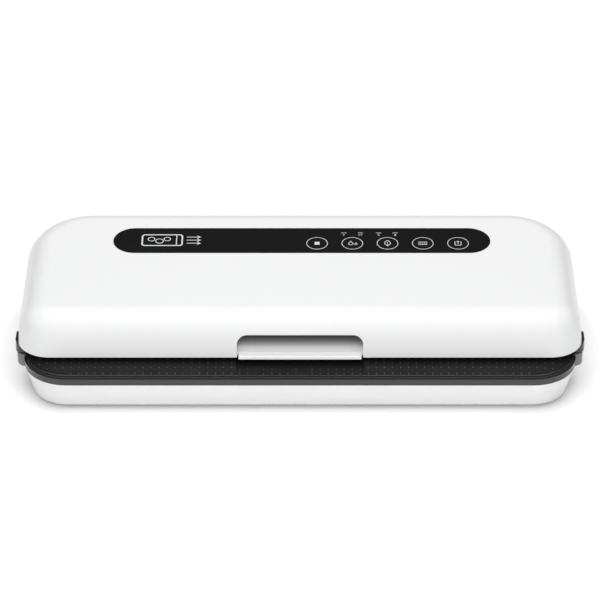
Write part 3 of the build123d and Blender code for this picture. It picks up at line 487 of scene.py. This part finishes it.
join(foam_tree,
     (foam_place.outputs["Object"], foam_cells.inputs["Vector"]),
     (foam_place.outputs["Object"], foam_skin.inputs["Vector"]),
     (foam_depth, foam_relief.inputs["Height"]),
     (foam_skin.outputs["Fac"], foam_tint.inputs["Factor"]),
     (foam_tint.outputs["Result"], foam_shader.inputs["Base Color"]),
     (foam_relief.outputs["Normal"], foam_shader.inputs["Normal"]))

foam_ring, foam_ring_in, foam_ring_out = new_shape("foam_ring", {
    "Length": "Float", "Depth": "Float", "Corner": "Float", "Middle": "Vector",
    "Thick": "Float", "Tall": "Float", "Crown": "Float", "Material": "Material"})
ring_path = add(foam_ring, "GeometryNodeCurvePrimitiveQuadrilateral", mode="RECTANGLE")
ring_bend = add(foam_ring, "GeometryNodeFilletCurve", mode="POLY")
ring_bend.inputs["Count"].default_value = 14
ring_section = add(foam_ring, "GeometryNodeCurvePrimitiveQuadrilateral", mode="RECTANGLE")
ring_crown = add(foam_ring, "GeometryNodeFilletCurve", mode="POLY")
ring_crown.inputs["Count"].default_value = 6
ring_body = add(foam_ring, "GeometryNodeCurveToMesh")
ring_place = add(foam_ring, "GeometryNodeTransform")
ring_smooth = add(foam_ring, "GeometryNodeSetShadeSmooth")
ring_paint = add(foam_ring, "GeometryNodeSetMaterial")
ring_real = add(foam_ring, "GeometryNodeRealizeInstances")
join(foam_ring,
     (foam_ring_in.outputs["Length"], ring_path.inputs["Width"]),
     (foam_ring_in.outputs["Depth"], ring_path.inputs["Height"]),
     (ring_path.outputs["Curve"], ring_bend.inputs["Curve"]),
     (foam_ring_in.outputs["Corner"], ring_bend.inputs["Radius"]),
     (foam_ring_in.outputs["Thick"], ring_section.inputs["Width"]),
     (foam_ring_in.outputs["Tall"], ring_section.inputs["Height"]),
     (ring_section.outputs["Curve"], ring_crown.inputs["Curve"]),
     (foam_ring_in.outputs["Crown"], ring_crown.inputs["Radius"]),
     (ring_bend.outputs["Curve"], ring_body.inputs["Curve"]),
     (ring_crown.outputs["Curve"], ring_body.inputs["Profile Curve"]),
     (ring_body.outputs["Mesh"], ring_place.inputs["Geometry"]),
     (foam_ring_in.outputs["Middle"], ring_place.inputs["Translation"]),
     (ring_place.outputs["Geometry"], ring_smooth.inputs["Geometry"]),
     (ring_smooth.outputs["Geometry"], ring_real.inputs["Geometry"]),
     (ring_real.outputs["Geometry"], ring_paint.inputs["Geometry"]),
     (foam_ring_in.outputs["Material"], ring_paint.inputs["Material"]),
     (ring_paint.outputs["Geometry"], foam_ring_out.inputs["Geometry"]))


foam_width = 4.8
foam_corner = 16.4
foam_crown = 1.45


def lay_foam(name, node, body):
    """Lays a ring of foam on the middle line of the CAD gasket that it stands for."""
    low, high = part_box(node)
    thick = foam_width * mm
    grow(foam_ring, name, body, "foam_grey", [node], Material=foam,
         Length=high[0] - low[0] - thick, Depth=high[1] - low[1] - thick, Corner=foam_corner * mm,
         Middle=tuple((a + b) / 2 for a, b in zip(low, high)),
         Thick=thick, Tall=high[2] - low[2], Crown=foam_crown * mm)


lay_foam("lower_foam", "lower_gasket", "base")


# ---------------------------------------------------------------------------
# Pressure strip. A bar of soft grey silicone in a seat of the plate, moulded with
# fine ribs along its top; the bag is pressed against it while the wire is hot.

strip_low, strip_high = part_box("pressure_strip")
strip_ribs = 5
strip_half = (strip_high[1] - strip_low[1]) / 2
strip_middle = (strip_high[1] + strip_low[1]) / 2


def strip_section():
    """Half-round ribs across the top, then the flat foot: pairs of (y, z)."""
    width = 2 * strip_half - 1.4 * mm
    steps = strip_ribs * 8
    section = [(-strip_half, strip_low[2]), (-strip_half, strip_high[2] - 1.1 * mm),
               (-strip_half + 0.2 * mm, strip_high[2] - 0.6 * mm)]
    for step in range(steps + 1):
        wave = abs(math.sin(math.pi * step / 8))
        crown = 1.0 - (2 * step / steps - 1) ** 2
        y = -width / 2 + width * step / steps
        section.append((y, strip_high[2] - 0.42 * mm + 0.24 * mm * wave + 0.18 * mm * crown))
    section += [(strip_half - 0.2 * mm, strip_high[2] - 0.6 * mm),
                (strip_half, strip_high[2] - 1.1 * mm), (strip_half, strip_low[2])]
    return section


silicone = mould("grey_silicone", (0.13, 0.13, 0.135), 0.42, 0.03 * mm, dusty=0.05,
                 Wave=0.6, Wave_size=120.0, Grain_size=2000.0, Grain=0.3, Gloss_change=0.15,
                 Subsurface_Weight=0.08, Subsurface_Scale=1.0 * mm)
strip = bmesh.new()
stations = [(strip_low[0], 0.86), (strip_low[0] + 0.5 * mm, 0.97), (strip_low[0] + 1.3 * mm, 1.0),
            (strip_high[0] - 1.3 * mm, 1.0), (strip_high[0] - 0.5 * mm, 0.97), (strip_high[0], 0.86)]
strip_rows = [[strip.verts.new((x, strip_middle + y * narrow, z)) for y, z in strip_section()]
              for x, narrow in stations]
for row, after in zip(strip_rows, strip_rows[1:]):
    for index in range(len(row)):
        strip.faces.new((row[index], row[index - 1], after[index - 1], after[index]))
strip.faces.new(strip_rows[0])
strip.faces.new(reversed(strip_rows[-1]))
finish_piece("silicone_strip", strip, silicone, "base", ["pressure_strip"], smooth=50.0)


# ---------------------------------------------------------------------------
# Latches. A grey ABS cap slides in on each side and tips a black lever of glossy
# acetal on its steel pin, against a torsion spring.

button_plastic = mould("grey_button_plastic", (0.165, 0.167, 0.175), 0.34, 0.03 * mm, edge=0.3 * mm,
                       Wave=0.4, Wave_size=120.0, Grain_size=2600.0, Grain=0.6, Gloss_change=0.12)
dress(button_plastic, "release_button_right", "release_button_left")
acetal = mould("black_acetal", (0.02, 0.02, 0.021), 0.28, 0.02 * mm, edge=0.2 * mm,
               Wave=0.5, Wave_size=140.0, Grain_size=2200.0, Grain=0.2, Gloss_change=0.12)
dress(acetal, "latch_lever_right", "latch_lever_left", "lid_catches", "lid_switch_plunger", "valve_plunger")


# ---------------------------------------------------------------------------
# Lid cover. The large white gloss moulding on top, rounded all round, with a cup of
# white plastic snapped in behind the grip's opening, its colour painted with shade towards its roof.

dress(white_plastic, "lid_cover")
grip_painted_shade_plastic = mould("tinted_grip_plastic", (0.8, 0.8, 0.8), 0.38, 0.04 * mm, edge=0.3 * mm,
                     Wave=0.5, Wave_size=60.0, Grain_size=1400.0, Grain=0.1, Gloss_change=0.1,
                     Specular_IOR_Level=0.3)
# Painted shade: the cup's colour runs from white at its ledge to near black about 7 mm higher, where the roof
# lies in shade.
grip_painted_shade_stops = [(0.0, 0.95), (0.3, 0.93), (0.45, 0.55), (0.68, 0.22), (1.0, 0.055)]
grip_ledge = 1.5
grip_climb_height = 7.1
grip_ledge_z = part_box("lid_cover")[0][2] + grip_ledge * mm
grip_tree = grip_painted_shade_plastic.node_tree
grip_place = add(grip_tree, "ShaderNodeTexCoord")
grip_split = add(grip_tree, "ShaderNodeSeparateXYZ")
grip_climb = add(grip_tree, "ShaderNodeMapRange", From_Min=grip_ledge_z,
                 From_Max=grip_ledge_z + grip_climb_height * mm)
grip_painted_shade_ramp = add(grip_tree, "ShaderNodeValToRGB")
for place, shade in grip_painted_shade_stops[1:-1]:
    grip_painted_shade_ramp.color_ramp.elements.new(place)
for element, (place, shade) in zip(grip_painted_shade_ramp.color_ramp.elements, grip_painted_shade_stops):
    element.position = place
    element.color = (shade, shade, shade, 1.0)
join(grip_tree,
     (grip_place.outputs["Object"], grip_split.inputs[0]),
     (grip_split.outputs["Z"], grip_climb.inputs["Value"]),
     (grip_climb.outputs["Result"], grip_painted_shade_ramp.inputs["Fac"]),
     (grip_painted_shade_ramp.outputs["Color"], grip_tree.nodes["Principled BSDF"].inputs["Base Color"]))
dress(grip_painted_shade_plastic, "grip_insert")


# ---------------------------------------------------------------------------
# Control panel. A black gloss acrylic plate let into the lid, with five round keys
# flush in it. Pale grey rings and plain signs are screen-printed on the faces.

panel_acrylic = mould("black_panel_acrylic", (0.0035, 0.0035, 0.004), 0.09, 0.006 * mm,
                      edge=0.12 * mm, dusty=0.01, Wave=0.5, Wave_size=30.0, Grain_size=900.0,
                      Grain=0.02, Gloss_change=0.05, Specular_IOR_Level=0.22)
key_acrylic = mould("black_key_acrylic", (0.0045, 0.0045, 0.005), 0.12, 0.006 * mm, edge=0.12 * mm, dusty=0.01,
                    Wave=0.5, Wave_size=60.0, Grain_size=900.0, Grain=0.03, Gloss_change=0.06,
                    Specular_IOR_Level=0.22)
dress(panel_acrylic, "control_panel")
dress(key_acrylic, "key_stop", "key_moisture", "key_food", "key_seal", "key_vacuum")

lens = new_material("smoked_lens", (0.35, 0.36, 0.37), 0.18, Transmission_Weight=0.35, Coat_Weight=0.5)
lens_tree = lens.node_tree
lens_place = add(lens_tree, "ShaderNodeTexCoord")
lens_frost = add(lens_tree, "ShaderNodeTexNoise", Scale=3000.0, Detail=3.0)
lens_relief = add(lens_tree, "ShaderNodeBump", Distance=0.02 * mm, Strength=0.6)
join(lens_tree,
     (lens_place.outputs["Object"], lens_frost.inputs["Vector"]),
     (lens_frost.outputs["Fac"], lens_relief.inputs["Height"]),
     (lens_relief.outputs["Normal"], lens_tree.nodes["Principled BSDF"].inputs["Normal"]))
dress(lens, "light_windows")

ink = mould("printed_ink", (0.62, 0.63, 0.64), 0.45, 0.004 * mm, Wave=0.2, Wave_size=200.0,
            Grain_size=6000.0, Grain=0.8, Gloss_change=0.2)
ink_thickness = 0.04
lid_slope = math.radians(3.3)
panel_low, panel_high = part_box("control_panel")
panel_middle = (Vector(panel_low) + Vector(panel_high)) / 2
panel_half_thickness = 0.85
on_panel = (Matrix.Translation(panel_middle) @ Matrix.Rotation(lid_slope, 4, "X")
            @ Matrix.Translation((0, 0, panel_half_thickness * mm)))


def print_line(bm, points, width, closed=False):
    """Lays a line of ink on the panel: a thin closed strip with mitred corners. Points in mm."""
    count = len(points)
    rows = []
    for index, point in enumerate(points):
        here = Vector(point)
        steps = []
        if closed or index > 0:
            steps.append((here - Vector(points[index - 1])).normalized())
        if closed or index < count - 1:
            steps.append((Vector(points[(index + 1) % count]) - here).normalized())
        along = sum(steps, Vector((0, 0))).normalized()
        across = Vector((-along.y, along.x))
        across *= width / 2 / max(across.dot(Vector((-steps[0].y, steps[0].x))), 0.4)
        corners = [(here + across, ink_thickness), (here - across, ink_thickness),
                   (here - across, -ink_thickness / 2), (here + across, -ink_thickness / 2)]
        rows.append([bm.verts.new(on_panel @ Vector((p.x * mm, p.y * mm, w * mm))) for p, w in corners])
    for index in range(count if closed else count - 1):
        row, after = rows[index], rows[(index + 1) % count]
        for side in range(4):
            bm.faces.new((row[side], after[side], after[(side + 1) % 4], row[(side + 1) % 4]))
    if not closed:
        bm.faces.new(reversed(rows[0]))
        bm.faces.new(rows[-1])


def print_patch(bm, points):
    """Lays a filled patch of ink on the panel."""
    upper = [bm.verts.new(on_panel @ Vector((x * mm, v * mm, ink_thickness * mm))) for x, v in points]
    lower = [bm.verts.new(on_panel @ Vector((x * mm, v * mm, -ink_thickness / 2 * mm))) for x, v in points]
    bm.faces.new(upper)
    bm.faces.new(reversed(lower))
    for index in range(len(points)):
        bm.faces.new((upper[index - 1], upper[index], lower[index], lower[index - 1]))


def arc(x, v, radius, start, end, steps):
    """Points on part of a circle, angles in degrees."""
    angles = [math.radians(start + (end - start) * step / steps) for step in range(steps + 1)]
    return [(x + radius * math.cos(a), v + radius * math.sin(a)) for a in angles]


def shifted(points, x, v, size=1.0):
    return [(x + size * px, v + size * pv) for px, pv in points]


drop_outline = [(0.0, 2.0), (-0.45, 1.15), (-1.0, 0.25)] + arc(0, -0.35, 1.17, 150, 390, 14)[1:-1] + [
    (1.0, 0.25), (0.45, 1.15)]
leaf_outline = [(0.0, 2.3)] + arc(1.0, 0.0, 2.5, 118, 242, 10)[1:-1] + [(0.0, -2.3)] + arc(
    -1.0, 0.0, 2.5, -62, 62, 10)[1:-1]
bag_outline = [(-2.0, 2.2), (-2.0, -1.8), (-1.6, -2.2), (1.6, -2.2), (2.0, -1.8), (2.0, 2.2)]
sign_width = 0.45


def sign_stop(bm, x, v):
    print_patch(bm, shifted([(-1.6, -1.6), (1.6, -1.6), (1.6, 1.6), (-1.6, 1.6)], x, v))


def sign_moisture(bm, x, v):
    print_line(bm, shifted(drop_outline, x - 1.0, v, 1.25), sign_width, closed=True)
    print_line(bm, shifted(drop_outline, x + 2.4, v - 0.7, 0.7), sign_width * 0.8, closed=True)


def sign_food(bm, x, v):
    print_line(bm, shifted(leaf_outline, x, v + 0.3, 1.25), sign_width, closed=True)
    print_line(bm, shifted([(0.0, -3.0), (0.0, 1.1)], x, v, 1.2), sign_width * 0.8)


def sign_seal(bm, x, v):
    for rise in (-1.5, 1.5):
        print_line(bm, shifted([(-3.0, rise), (3.0, rise)], x, v), sign_width)
    for step in range(5):
        left = -2.9 + 1.26 * step
        print_line(bm, shifted([(left, -0.45), (left + 0.7, 0.45)], x, v), sign_width)


def sign_vacuum(bm, x, v):
    print_line(bm, shifted(bag_outline, x, v), sign_width)
    print_line(bm, shifted([(0.0, -0.9), (0.0, 2.4)], x, v), sign_width)
    print_line(bm, shifted([(-0.9, 1.6), (0.0, 2.6), (0.9, 1.6)], x, v), sign_width)


key_offset = -3.7
key_ring_radius = 6.86
key_ring_width = 0.42
key_signs = {"key_stop": sign_stop, "key_moisture": sign_moisture, "key_food": sign_food,
             "key_seal": sign_seal, "key_vacuum": sign_vacuum}
for name, sign in key_signs.items():
    key_low, key_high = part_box(name)
    key_x = ((key_low[0] + key_high[0]) / 2 - panel_middle.x) / mm
    marks = bmesh.new()
    print_line(marks, arc(key_x, key_offset, key_ring_radius, 0, 360, 72)[:-1], key_ring_width, closed=True)
    sign(marks, key_x, key_offset)
    finish_piece(name + "_print", marks, ink, name)

# Small signs beside the four lights: gentle and full speed, dry and moist food.
panel_marks = bmesh.new()
light_offset = 6.15
for x, level in ((28.0, 1), (39.0, 2)):
    for step in range(level):
        left = x - 0.7 * level + 1.4 * step
        chevron = [(left, light_offset - 0.6), (left + 1.0, light_offset), (left, light_offset + 0.6)]
        print_line(panel_marks, chevron, 0.26)
print_line(panel_marks, shifted(drop_outline, 51.0, light_offset, 0.5), 0.22, closed=True)
print_patch(panel_marks, shifted(drop_outline, 62.0, light_offset, 0.55))

# A plain sign at the left end: a bag, its seam, and the air drawn out of it.
sign_x, sign_size = -84.0, 3.0
print_line(panel_marks, shifted([(-7.2, 1.7), (-7.2, -1.7), (-6.8, -2.1), (1.2, -2.1), (1.6, -1.7), (1.6, 1.7),
                                 (1.2, 2.1), (-6.8, 2.1)], sign_x, 0.0, sign_size), 1.0, closed=True)
print_line(panel_marks, shifted([(0.35, -2.1), (0.35, 2.1)], sign_x, 0.0, sign_size), 0.6)
for rise in (-1.2, 0.0, 1.2):
    print_line(panel_marks, shifted([(2.6, rise), (5.6, rise)], sign_x, 0.0, sign_size), 0.6)
    arrow_head = [(4.9, rise + 0.45), (5.6, rise), (4.9, rise - 0.45)]
    print_line(panel_marks, shifted(arrow_head, sign_x, 0.0, sign_size), 0.6)
for x, v, size in ((-5.2, 0.4, 0.75), (-3.4, -0.35, 0.85), (-1.7, 0.45, 0.7)):
    print_line(panel_marks, arc(sign_x + sign_size * x, sign_size * v, sign_size * size, 0, 360, 28)[:-1],
               0.55, closed=True)
finish_piece("panel_print", panel_marks, ink, "lid")


# ---------------------------------------------------------------------------
# Lid underside. A black ABS liner, screwed up into the cover, with the upper half
# of the chamber, its own foam ring and the heat-proof seal bar.

liner_plastic = mould("black_liner_plastic", (0.016, 0.016, 0.0165), 0.33, 0.035 * mm,
                      edge=0.3 * mm, dusty=0.02, Wave=0.5, Wave_size=50.0,
                      Grain_size=2800.0, Grain=0.8, Gloss_change=0.14)
dress(liner_plastic, "lid_liner")
dress(zinc, "lid_screws")
lay_foam("upper_foam", "upper_gasket", "lid")

phenolic = mould("heat_proof_phenolic", (0.05, 0.033, 0.022), 0.5, 0.05 * mm, edge=0.2 * mm,
                 Wave=0.3, Wave_size=300.0, Grain_size=1500.0, Grain=1.0, Gloss_change=0.25)
dress(phenolic, "heater_bar", "thermal_cutout")
nichrome = plate_metal("nichrome_strip", (0.5, 0.49, 0.48), (0.3, 0.27, 0.25), 0.38, 0.003 * mm,
                       Gloss_change=0.3)
dress(nichrome, "heating_strip")
brass = plate_metal("drawn_brass", (0.78, 0.58, 0.27), (0.55, 0.38, 0.17), 0.28, 0.003 * mm)
dress(brass, "heater_terminals", "suction_nozzle")

# The tape is glass cloth coated with PTFE, brown and faintly greasy, pulled over the wire and the bar's face.
tape = new_material("coated_glass_cloth", (0.36, 0.25, 0.14), 0.35, Coat_Weight=0.2, Coat_Roughness=0.3)
tape_tree = tape.node_tree
tape_shader = tape_tree.nodes["Principled BSDF"]
tape_place = add(tape_tree, "ShaderNodeTexCoord")
warp = add(tape_tree, "ShaderNodeTexWave", wave_type="BANDS", bands_direction="X", Scale=420.0, Distortion=0.4)
weft = add(tape_tree, "ShaderNodeTexWave", wave_type="BANDS", bands_direction="Y", Scale=420.0, Distortion=0.4)
scorch = add(tape_tree, "ShaderNodeTexNoise", Scale=55.0, Detail=6.0, Roughness=0.65)
tape_weave = maths(tape_tree, "MAXIMUM", warp.outputs["Fac"], weft.outputs["Fac"])
tape_relief = add(tape_tree, "ShaderNodeBump", Distance=0.04 * mm)
tape_tint = add(tape_tree, "ShaderNodeMix", data_type="RGBA")
tape_tint.inputs["A"].default_value = (0.2, 0.125, 0.06, 1.0)
tape_tint.inputs["B"].default_value = (0.46, 0.33, 0.19, 1.0)
tape_shade = maths(tape_tree, "MULTIPLY", maths(tape_tree, "ADD", tape_weave, 0.6), scorch.outputs["Fac"])
for texture in (warp, weft, scorch):
    join(tape_tree, (tape_place.outputs["Object"], texture.inputs["Vector"]))
join(tape_tree,
     (tape_weave, tape_relief.inputs["Height"]),
     (tape_shade, tape_tint.inputs["Factor"]),
     (tape_tint.outputs["Result"], tape_shader.inputs["Base Color"]),
     (tape_relief.outputs["Normal"], tape_shader.inputs["Normal"]))
tape_low, tape_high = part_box("ptfe_tape")
wire_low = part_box("heating_strip")[0]
bar_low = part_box("heater_bar")[0]
tape_half = (tape_high[1] - tape_low[1]) / 2
tape_middle = (tape_high[1] + tape_low[1]) / 2
tape_thickness = tape_high[2] - tape_low[2]
tape_stations = 76
tape_mesh = bmesh.new()
tape_rows = []
for station in range(tape_stations + 1):
    x = tape_low[0] + (tape_high[0] - tape_low[0]) * station / tape_stations
    ripple = 0.025 * mm * math.sin(station * 1.7) * math.sin(station * 0.43)
    row = []
    section = [(-1.0, bar_low[2]), (-0.62, bar_low[2] + ripple), (-0.42, wire_low[2]), (0.0, wire_low[2]),
               (0.42, wire_low[2]), (0.62, bar_low[2] - ripple), (1.0, bar_low[2])]
    for side, height in section:
        row.append(tape_mesh.verts.new((x, tape_middle + side * tape_half, height - tape_thickness)))
    for side, height in reversed(section):
        row.append(tape_mesh.verts.new((x, tape_middle + side * tape_half, height)))
    tape_rows.append(row)
for row, after in zip(tape_rows, tape_rows[1:]):
    for index in range(len(row)):
        tape_mesh.faces.new((row[index], row[index - 1], after[index - 1], after[index]))
tape_mesh.faces.new(tape_rows[0])
tape_mesh.faces.new(reversed(tape_rows[-1]))
finish_piece("seal_tape", tape_mesh, tape, "lid", ["ptfe_tape"], smooth=60.0)


# ---------------------------------------------------------------------------
# Boards. Glass laminate under green solder mask, with copper tracks that show
# through it; black moulded components, a layered transformer and clear leads.

board = new_material("green_circuit_board", (0.02, 0.13, 0.05), 0.32, Coat_Weight=0.3, Coat_Roughness=0.15)
board_tree = board.node_tree
board_shader = board_tree.nodes["Principled BSDF"]
board_place = add(board_tree, "ShaderNodeTexCoord")
tracks = add(board_tree, "ShaderNodeTexBrick", offset=0.5, Scale=1.0)
tracks.inputs["Mortar Size"].default_value = 0.0006
tracks.inputs["Brick Width"].default_value = 0.011
tracks.inputs["Row Height"].default_value = 0.0031
tracks.inputs["Color1"].default_value = (0.018, 0.12, 0.045, 1.0)
tracks.inputs["Color2"].default_value = (0.022, 0.15, 0.058, 1.0)
tracks.inputs["Mortar"].default_value = (0.07, 0.26, 0.1, 1.0)
board_relief = add(board_tree, "ShaderNodeBump", Distance=0.03 * mm)
mask_ripple = add(board_tree, "ShaderNodeTexNoise", Scale=700.0, Detail=3.0)
board_height = maths(board_tree, "ADD", tracks.outputs["Fac"], maths(
    board_tree, "MULTIPLY", mask_ripple.outputs["Fac"], 0.3))
join(board_tree,
     (board_place.outputs["Object"], tracks.inputs["Vector"]),
     (board_place.outputs["Object"], mask_ripple.inputs["Vector"]),
     (tracks.outputs["Color"], board_shader.inputs["Base Color"]),
     (board_height, board_relief.inputs["Height"]),
     (board_relief.outputs["Normal"], board_shader.inputs["Normal"]))
dress(board, "control_board", "power_board")
component = mould("black_component_moulding", (0.025, 0.025, 0.028), 0.48, 0.02 * mm, edge=0.2 * mm,
                  Wave=0.2, Wave_size=200.0, Grain_size=3000.0, Grain=1.0, Gloss_change=0.1)
dress(component, "tact_switches", "board_parts", "lid_switch", "pressure_sensor", "valve_body")
dress(zinc, "board_screws")
dress(lens, "status_lights")

laminations = new_material("stacked_iron", (0.2, 0.2, 0.21), 0.45, Metallic=0.8)
stack_tree = laminations.node_tree
stack_shader = stack_tree.nodes["Principled BSDF"]
stack_place = add(stack_tree, "ShaderNodeTexCoord")
sheets = add(stack_tree, "ShaderNodeTexWave", wave_type="BANDS", bands_direction="Y", Scale=320.0)
sheet_rust = add(stack_tree, "ShaderNodeTexNoise", Scale=260.0, Detail=6.0, Roughness=0.7)
stack_relief = add(stack_tree, "ShaderNodeBump", Distance=0.12 * mm)
stack_tint = add(stack_tree, "ShaderNodeMix", data_type="RGBA")
stack_tint.inputs["A"].default_value = (0.07, 0.06, 0.055, 1.0)
stack_tint.inputs["B"].default_value = (0.3, 0.3, 0.31, 1.0)
stack_shade = maths(stack_tree, "MULTIPLY", sheets.outputs["Fac"], sheet_rust.outputs["Fac"])
join(stack_tree,
     (stack_place.outputs["Object"], sheets.inputs["Vector"]),
     (stack_place.outputs["Object"], sheet_rust.inputs["Vector"]),
     (sheets.outputs["Fac"], stack_relief.inputs["Height"]),
     (stack_shade, stack_tint.inputs["Factor"]),
     (stack_tint.outputs["Result"], stack_shader.inputs["Base Color"]),
     (stack_relief.outputs["Normal"], stack_shader.inputs["Normal"]))
dress(laminations, "transformer")

wire_red = mould("red_wire_insulation", (0.42, 0.015, 0.012), 0.36, 0.02 * mm,
                 Wave=0.4, Wave_size=220.0, Grain_size=2600.0, Grain=0.3, Gloss_change=0.15)
dress(wire_red, "motor_leads")


# ---------------------------------------------------------------------------
# Pump. A zinc-plated motor can in a rubber saddle drives a diaphragm pump through
# its crankcase; a clear silicone hose joins the pump's head to the chamber's roof.

dress(zinc, "pump_motor", "motor_rotor", "valve_spring")
pump_plastic = mould("black_pump_plastic", (0.022, 0.022, 0.023), 0.44, 0.04 * mm, edge=0.3 * mm,
                     Wave=0.3, Wave_size=120.0, Grain_size=1800.0, Grain=0.9, Gloss_change=0.15)
dress(pump_plastic, "pump_crankcase", "pump_head")
dress(rubber, "pump_mounts", "cord_gland")

hose_silicone = mould("clear_hose_silicone", (0.62, 0.62, 0.6), 0.3, 0.03 * mm,
                      Wave=0.6, Wave_size=160.0, Grain_size=1200.0, Grain=0.2, Gloss_change=0.1,
                      Transmission_Weight=0.4)
hose_low, hose_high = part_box("suction_hose")
hose_radius = (hose_high[0] - hose_low[0]) / 2 / mm
hose_bore = 2.05
hose_length = (hose_high[1] - hose_low[1]) / mm
hose_profile = [(hose_bore, 0.0), (hose_radius - 0.25, 0.0), (hose_radius, 0.3), (hose_radius, 8.0),
                (hose_radius - 0.3, 10.5), (hose_radius - 0.3, hose_length - 9.0),
                (hose_radius, hose_length - 6.5),
                (hose_radius, hose_length - 0.3), (hose_radius - 0.25, hose_length), (hose_bore, hose_length),
                (hose_bore, 0.0)]
hose_start = ((hose_low[0] + hose_high[0]) / 2, hose_low[1], (hose_low[2] + hose_high[2]) / 2)
hose_place = (Matrix.Translation(hose_start)
              @ Matrix.Rotation(math.radians(-90), 4, "X"))
hose = bmesh.new()
turn(hose, hose_profile, hose_place)
bmesh.ops.remove_doubles(hose, verts=hose.verts, dist=0.001 * mm)
finish_piece("pump_hose", hose, hose_silicone, "lid", ["suction_hose"])


# ---------------------------------------------------------------------------
# Studio. A white table, soft boxes overhead and in front, a narrow strip for glints,
# and a pale room.

table_mesh = bpy.data.meshes.new("table")
table_mesh.from_pydata([(-6, -6, 0), (6, -6, 0), (6, 6, 0), (-6, 6, 0)], [], [(0, 1, 2, 3)])
table = bpy.data.objects.new("table", table_mesh)
bpy.context.scene.collection.objects.link(table)
table_white = new_material("table_white", (0.94, 0.94, 0.94), 0.9, Specular_IOR_Level=0.1,
                           Emission_Color=(1.0, 1.0, 1.0, 1.0), Emission_Strength=0.04)
table_mesh.materials.append(table_white)

room = bpy.data.worlds.new("room")
bpy.context.scene.world = room
room.use_nodes = True
room_tree = room.node_tree
room_place = add(room_tree, "ShaderNodeTexCoord")
room_split = add(room_tree, "ShaderNodeSeparateXYZ")
room_tree.nodes["Background"].inputs["Color"].default_value = (1, 1, 1, 1)
join(room_tree, (room_place.outputs["Generated"], room_split.inputs[0]))
room_rise = maths(room_tree, "MULTIPLY", maths(room_tree, "MAXIMUM", room_split.outputs["Z"], 0.0), 0.22)
join(room_tree, (maths(room_tree, "ADD", room_rise, 0.05), room_tree.nodes["Background"].inputs["Strength"]))


def soft_box(name, place, target, width, depth, power, mirrored=True):
    lamp = bpy.data.lights.new(name, "AREA")
    lamp.shape = "RECTANGLE"
    lamp.size = width
    lamp.size_y = depth
    lamp.energy = power
    box = bpy.data.objects.new(name, lamp)
    box.location = place
    box.rotation_euler = (Vector(target) - Vector(place)).to_track_quat("-Z", "Y").to_euler()
    box.visible_glossy = mirrored
    bpy.context.scene.collection.objects.link(box)


soft_box("overhead_box", (0, 0.1, 1.6), (0, 0, 0), 1.7, 1.5, 26.5, mirrored=False)
soft_box("front_box", (0, -1.3, 1.62), (0, 0, 0.03), 2.6, 1.3, 13.0, mirrored=False)
soft_box("glint_strip", (0, -1.66, 1.16), (0, 0, 0.03), 1.5, 0.25, 0.6)
soft_box("low_fill", (0, -1.9, 0.5), (0, 0, 0.03), 2.0, 0.6, 10.0, mirrored=False)

camera_target = Vector((0.0, 0.0019, 0.0355))
camera_distance = 2.0
camera_height = math.radians(32.0)
camera_data = bpy.data.cameras.new("camera")
camera_data.lens = 181.7
camera_data.sensor_width = 36.0
camera_data.clip_end = 20
camera = bpy.data.objects.new("camera", camera_data)
camera_way = Vector((0, -math.cos(camera_height), math.sin(camera_height)))
camera.location = camera_target + camera_distance * camera_way
camera.rotation_euler = (camera_target - camera.location).to_track_quat("-Z", "Y").to_euler()
bpy.context.scene.collection.objects.link(camera)
bpy.context.scene.camera = camera
bpy.context.scene.view_settings.view_transform = "Standard"
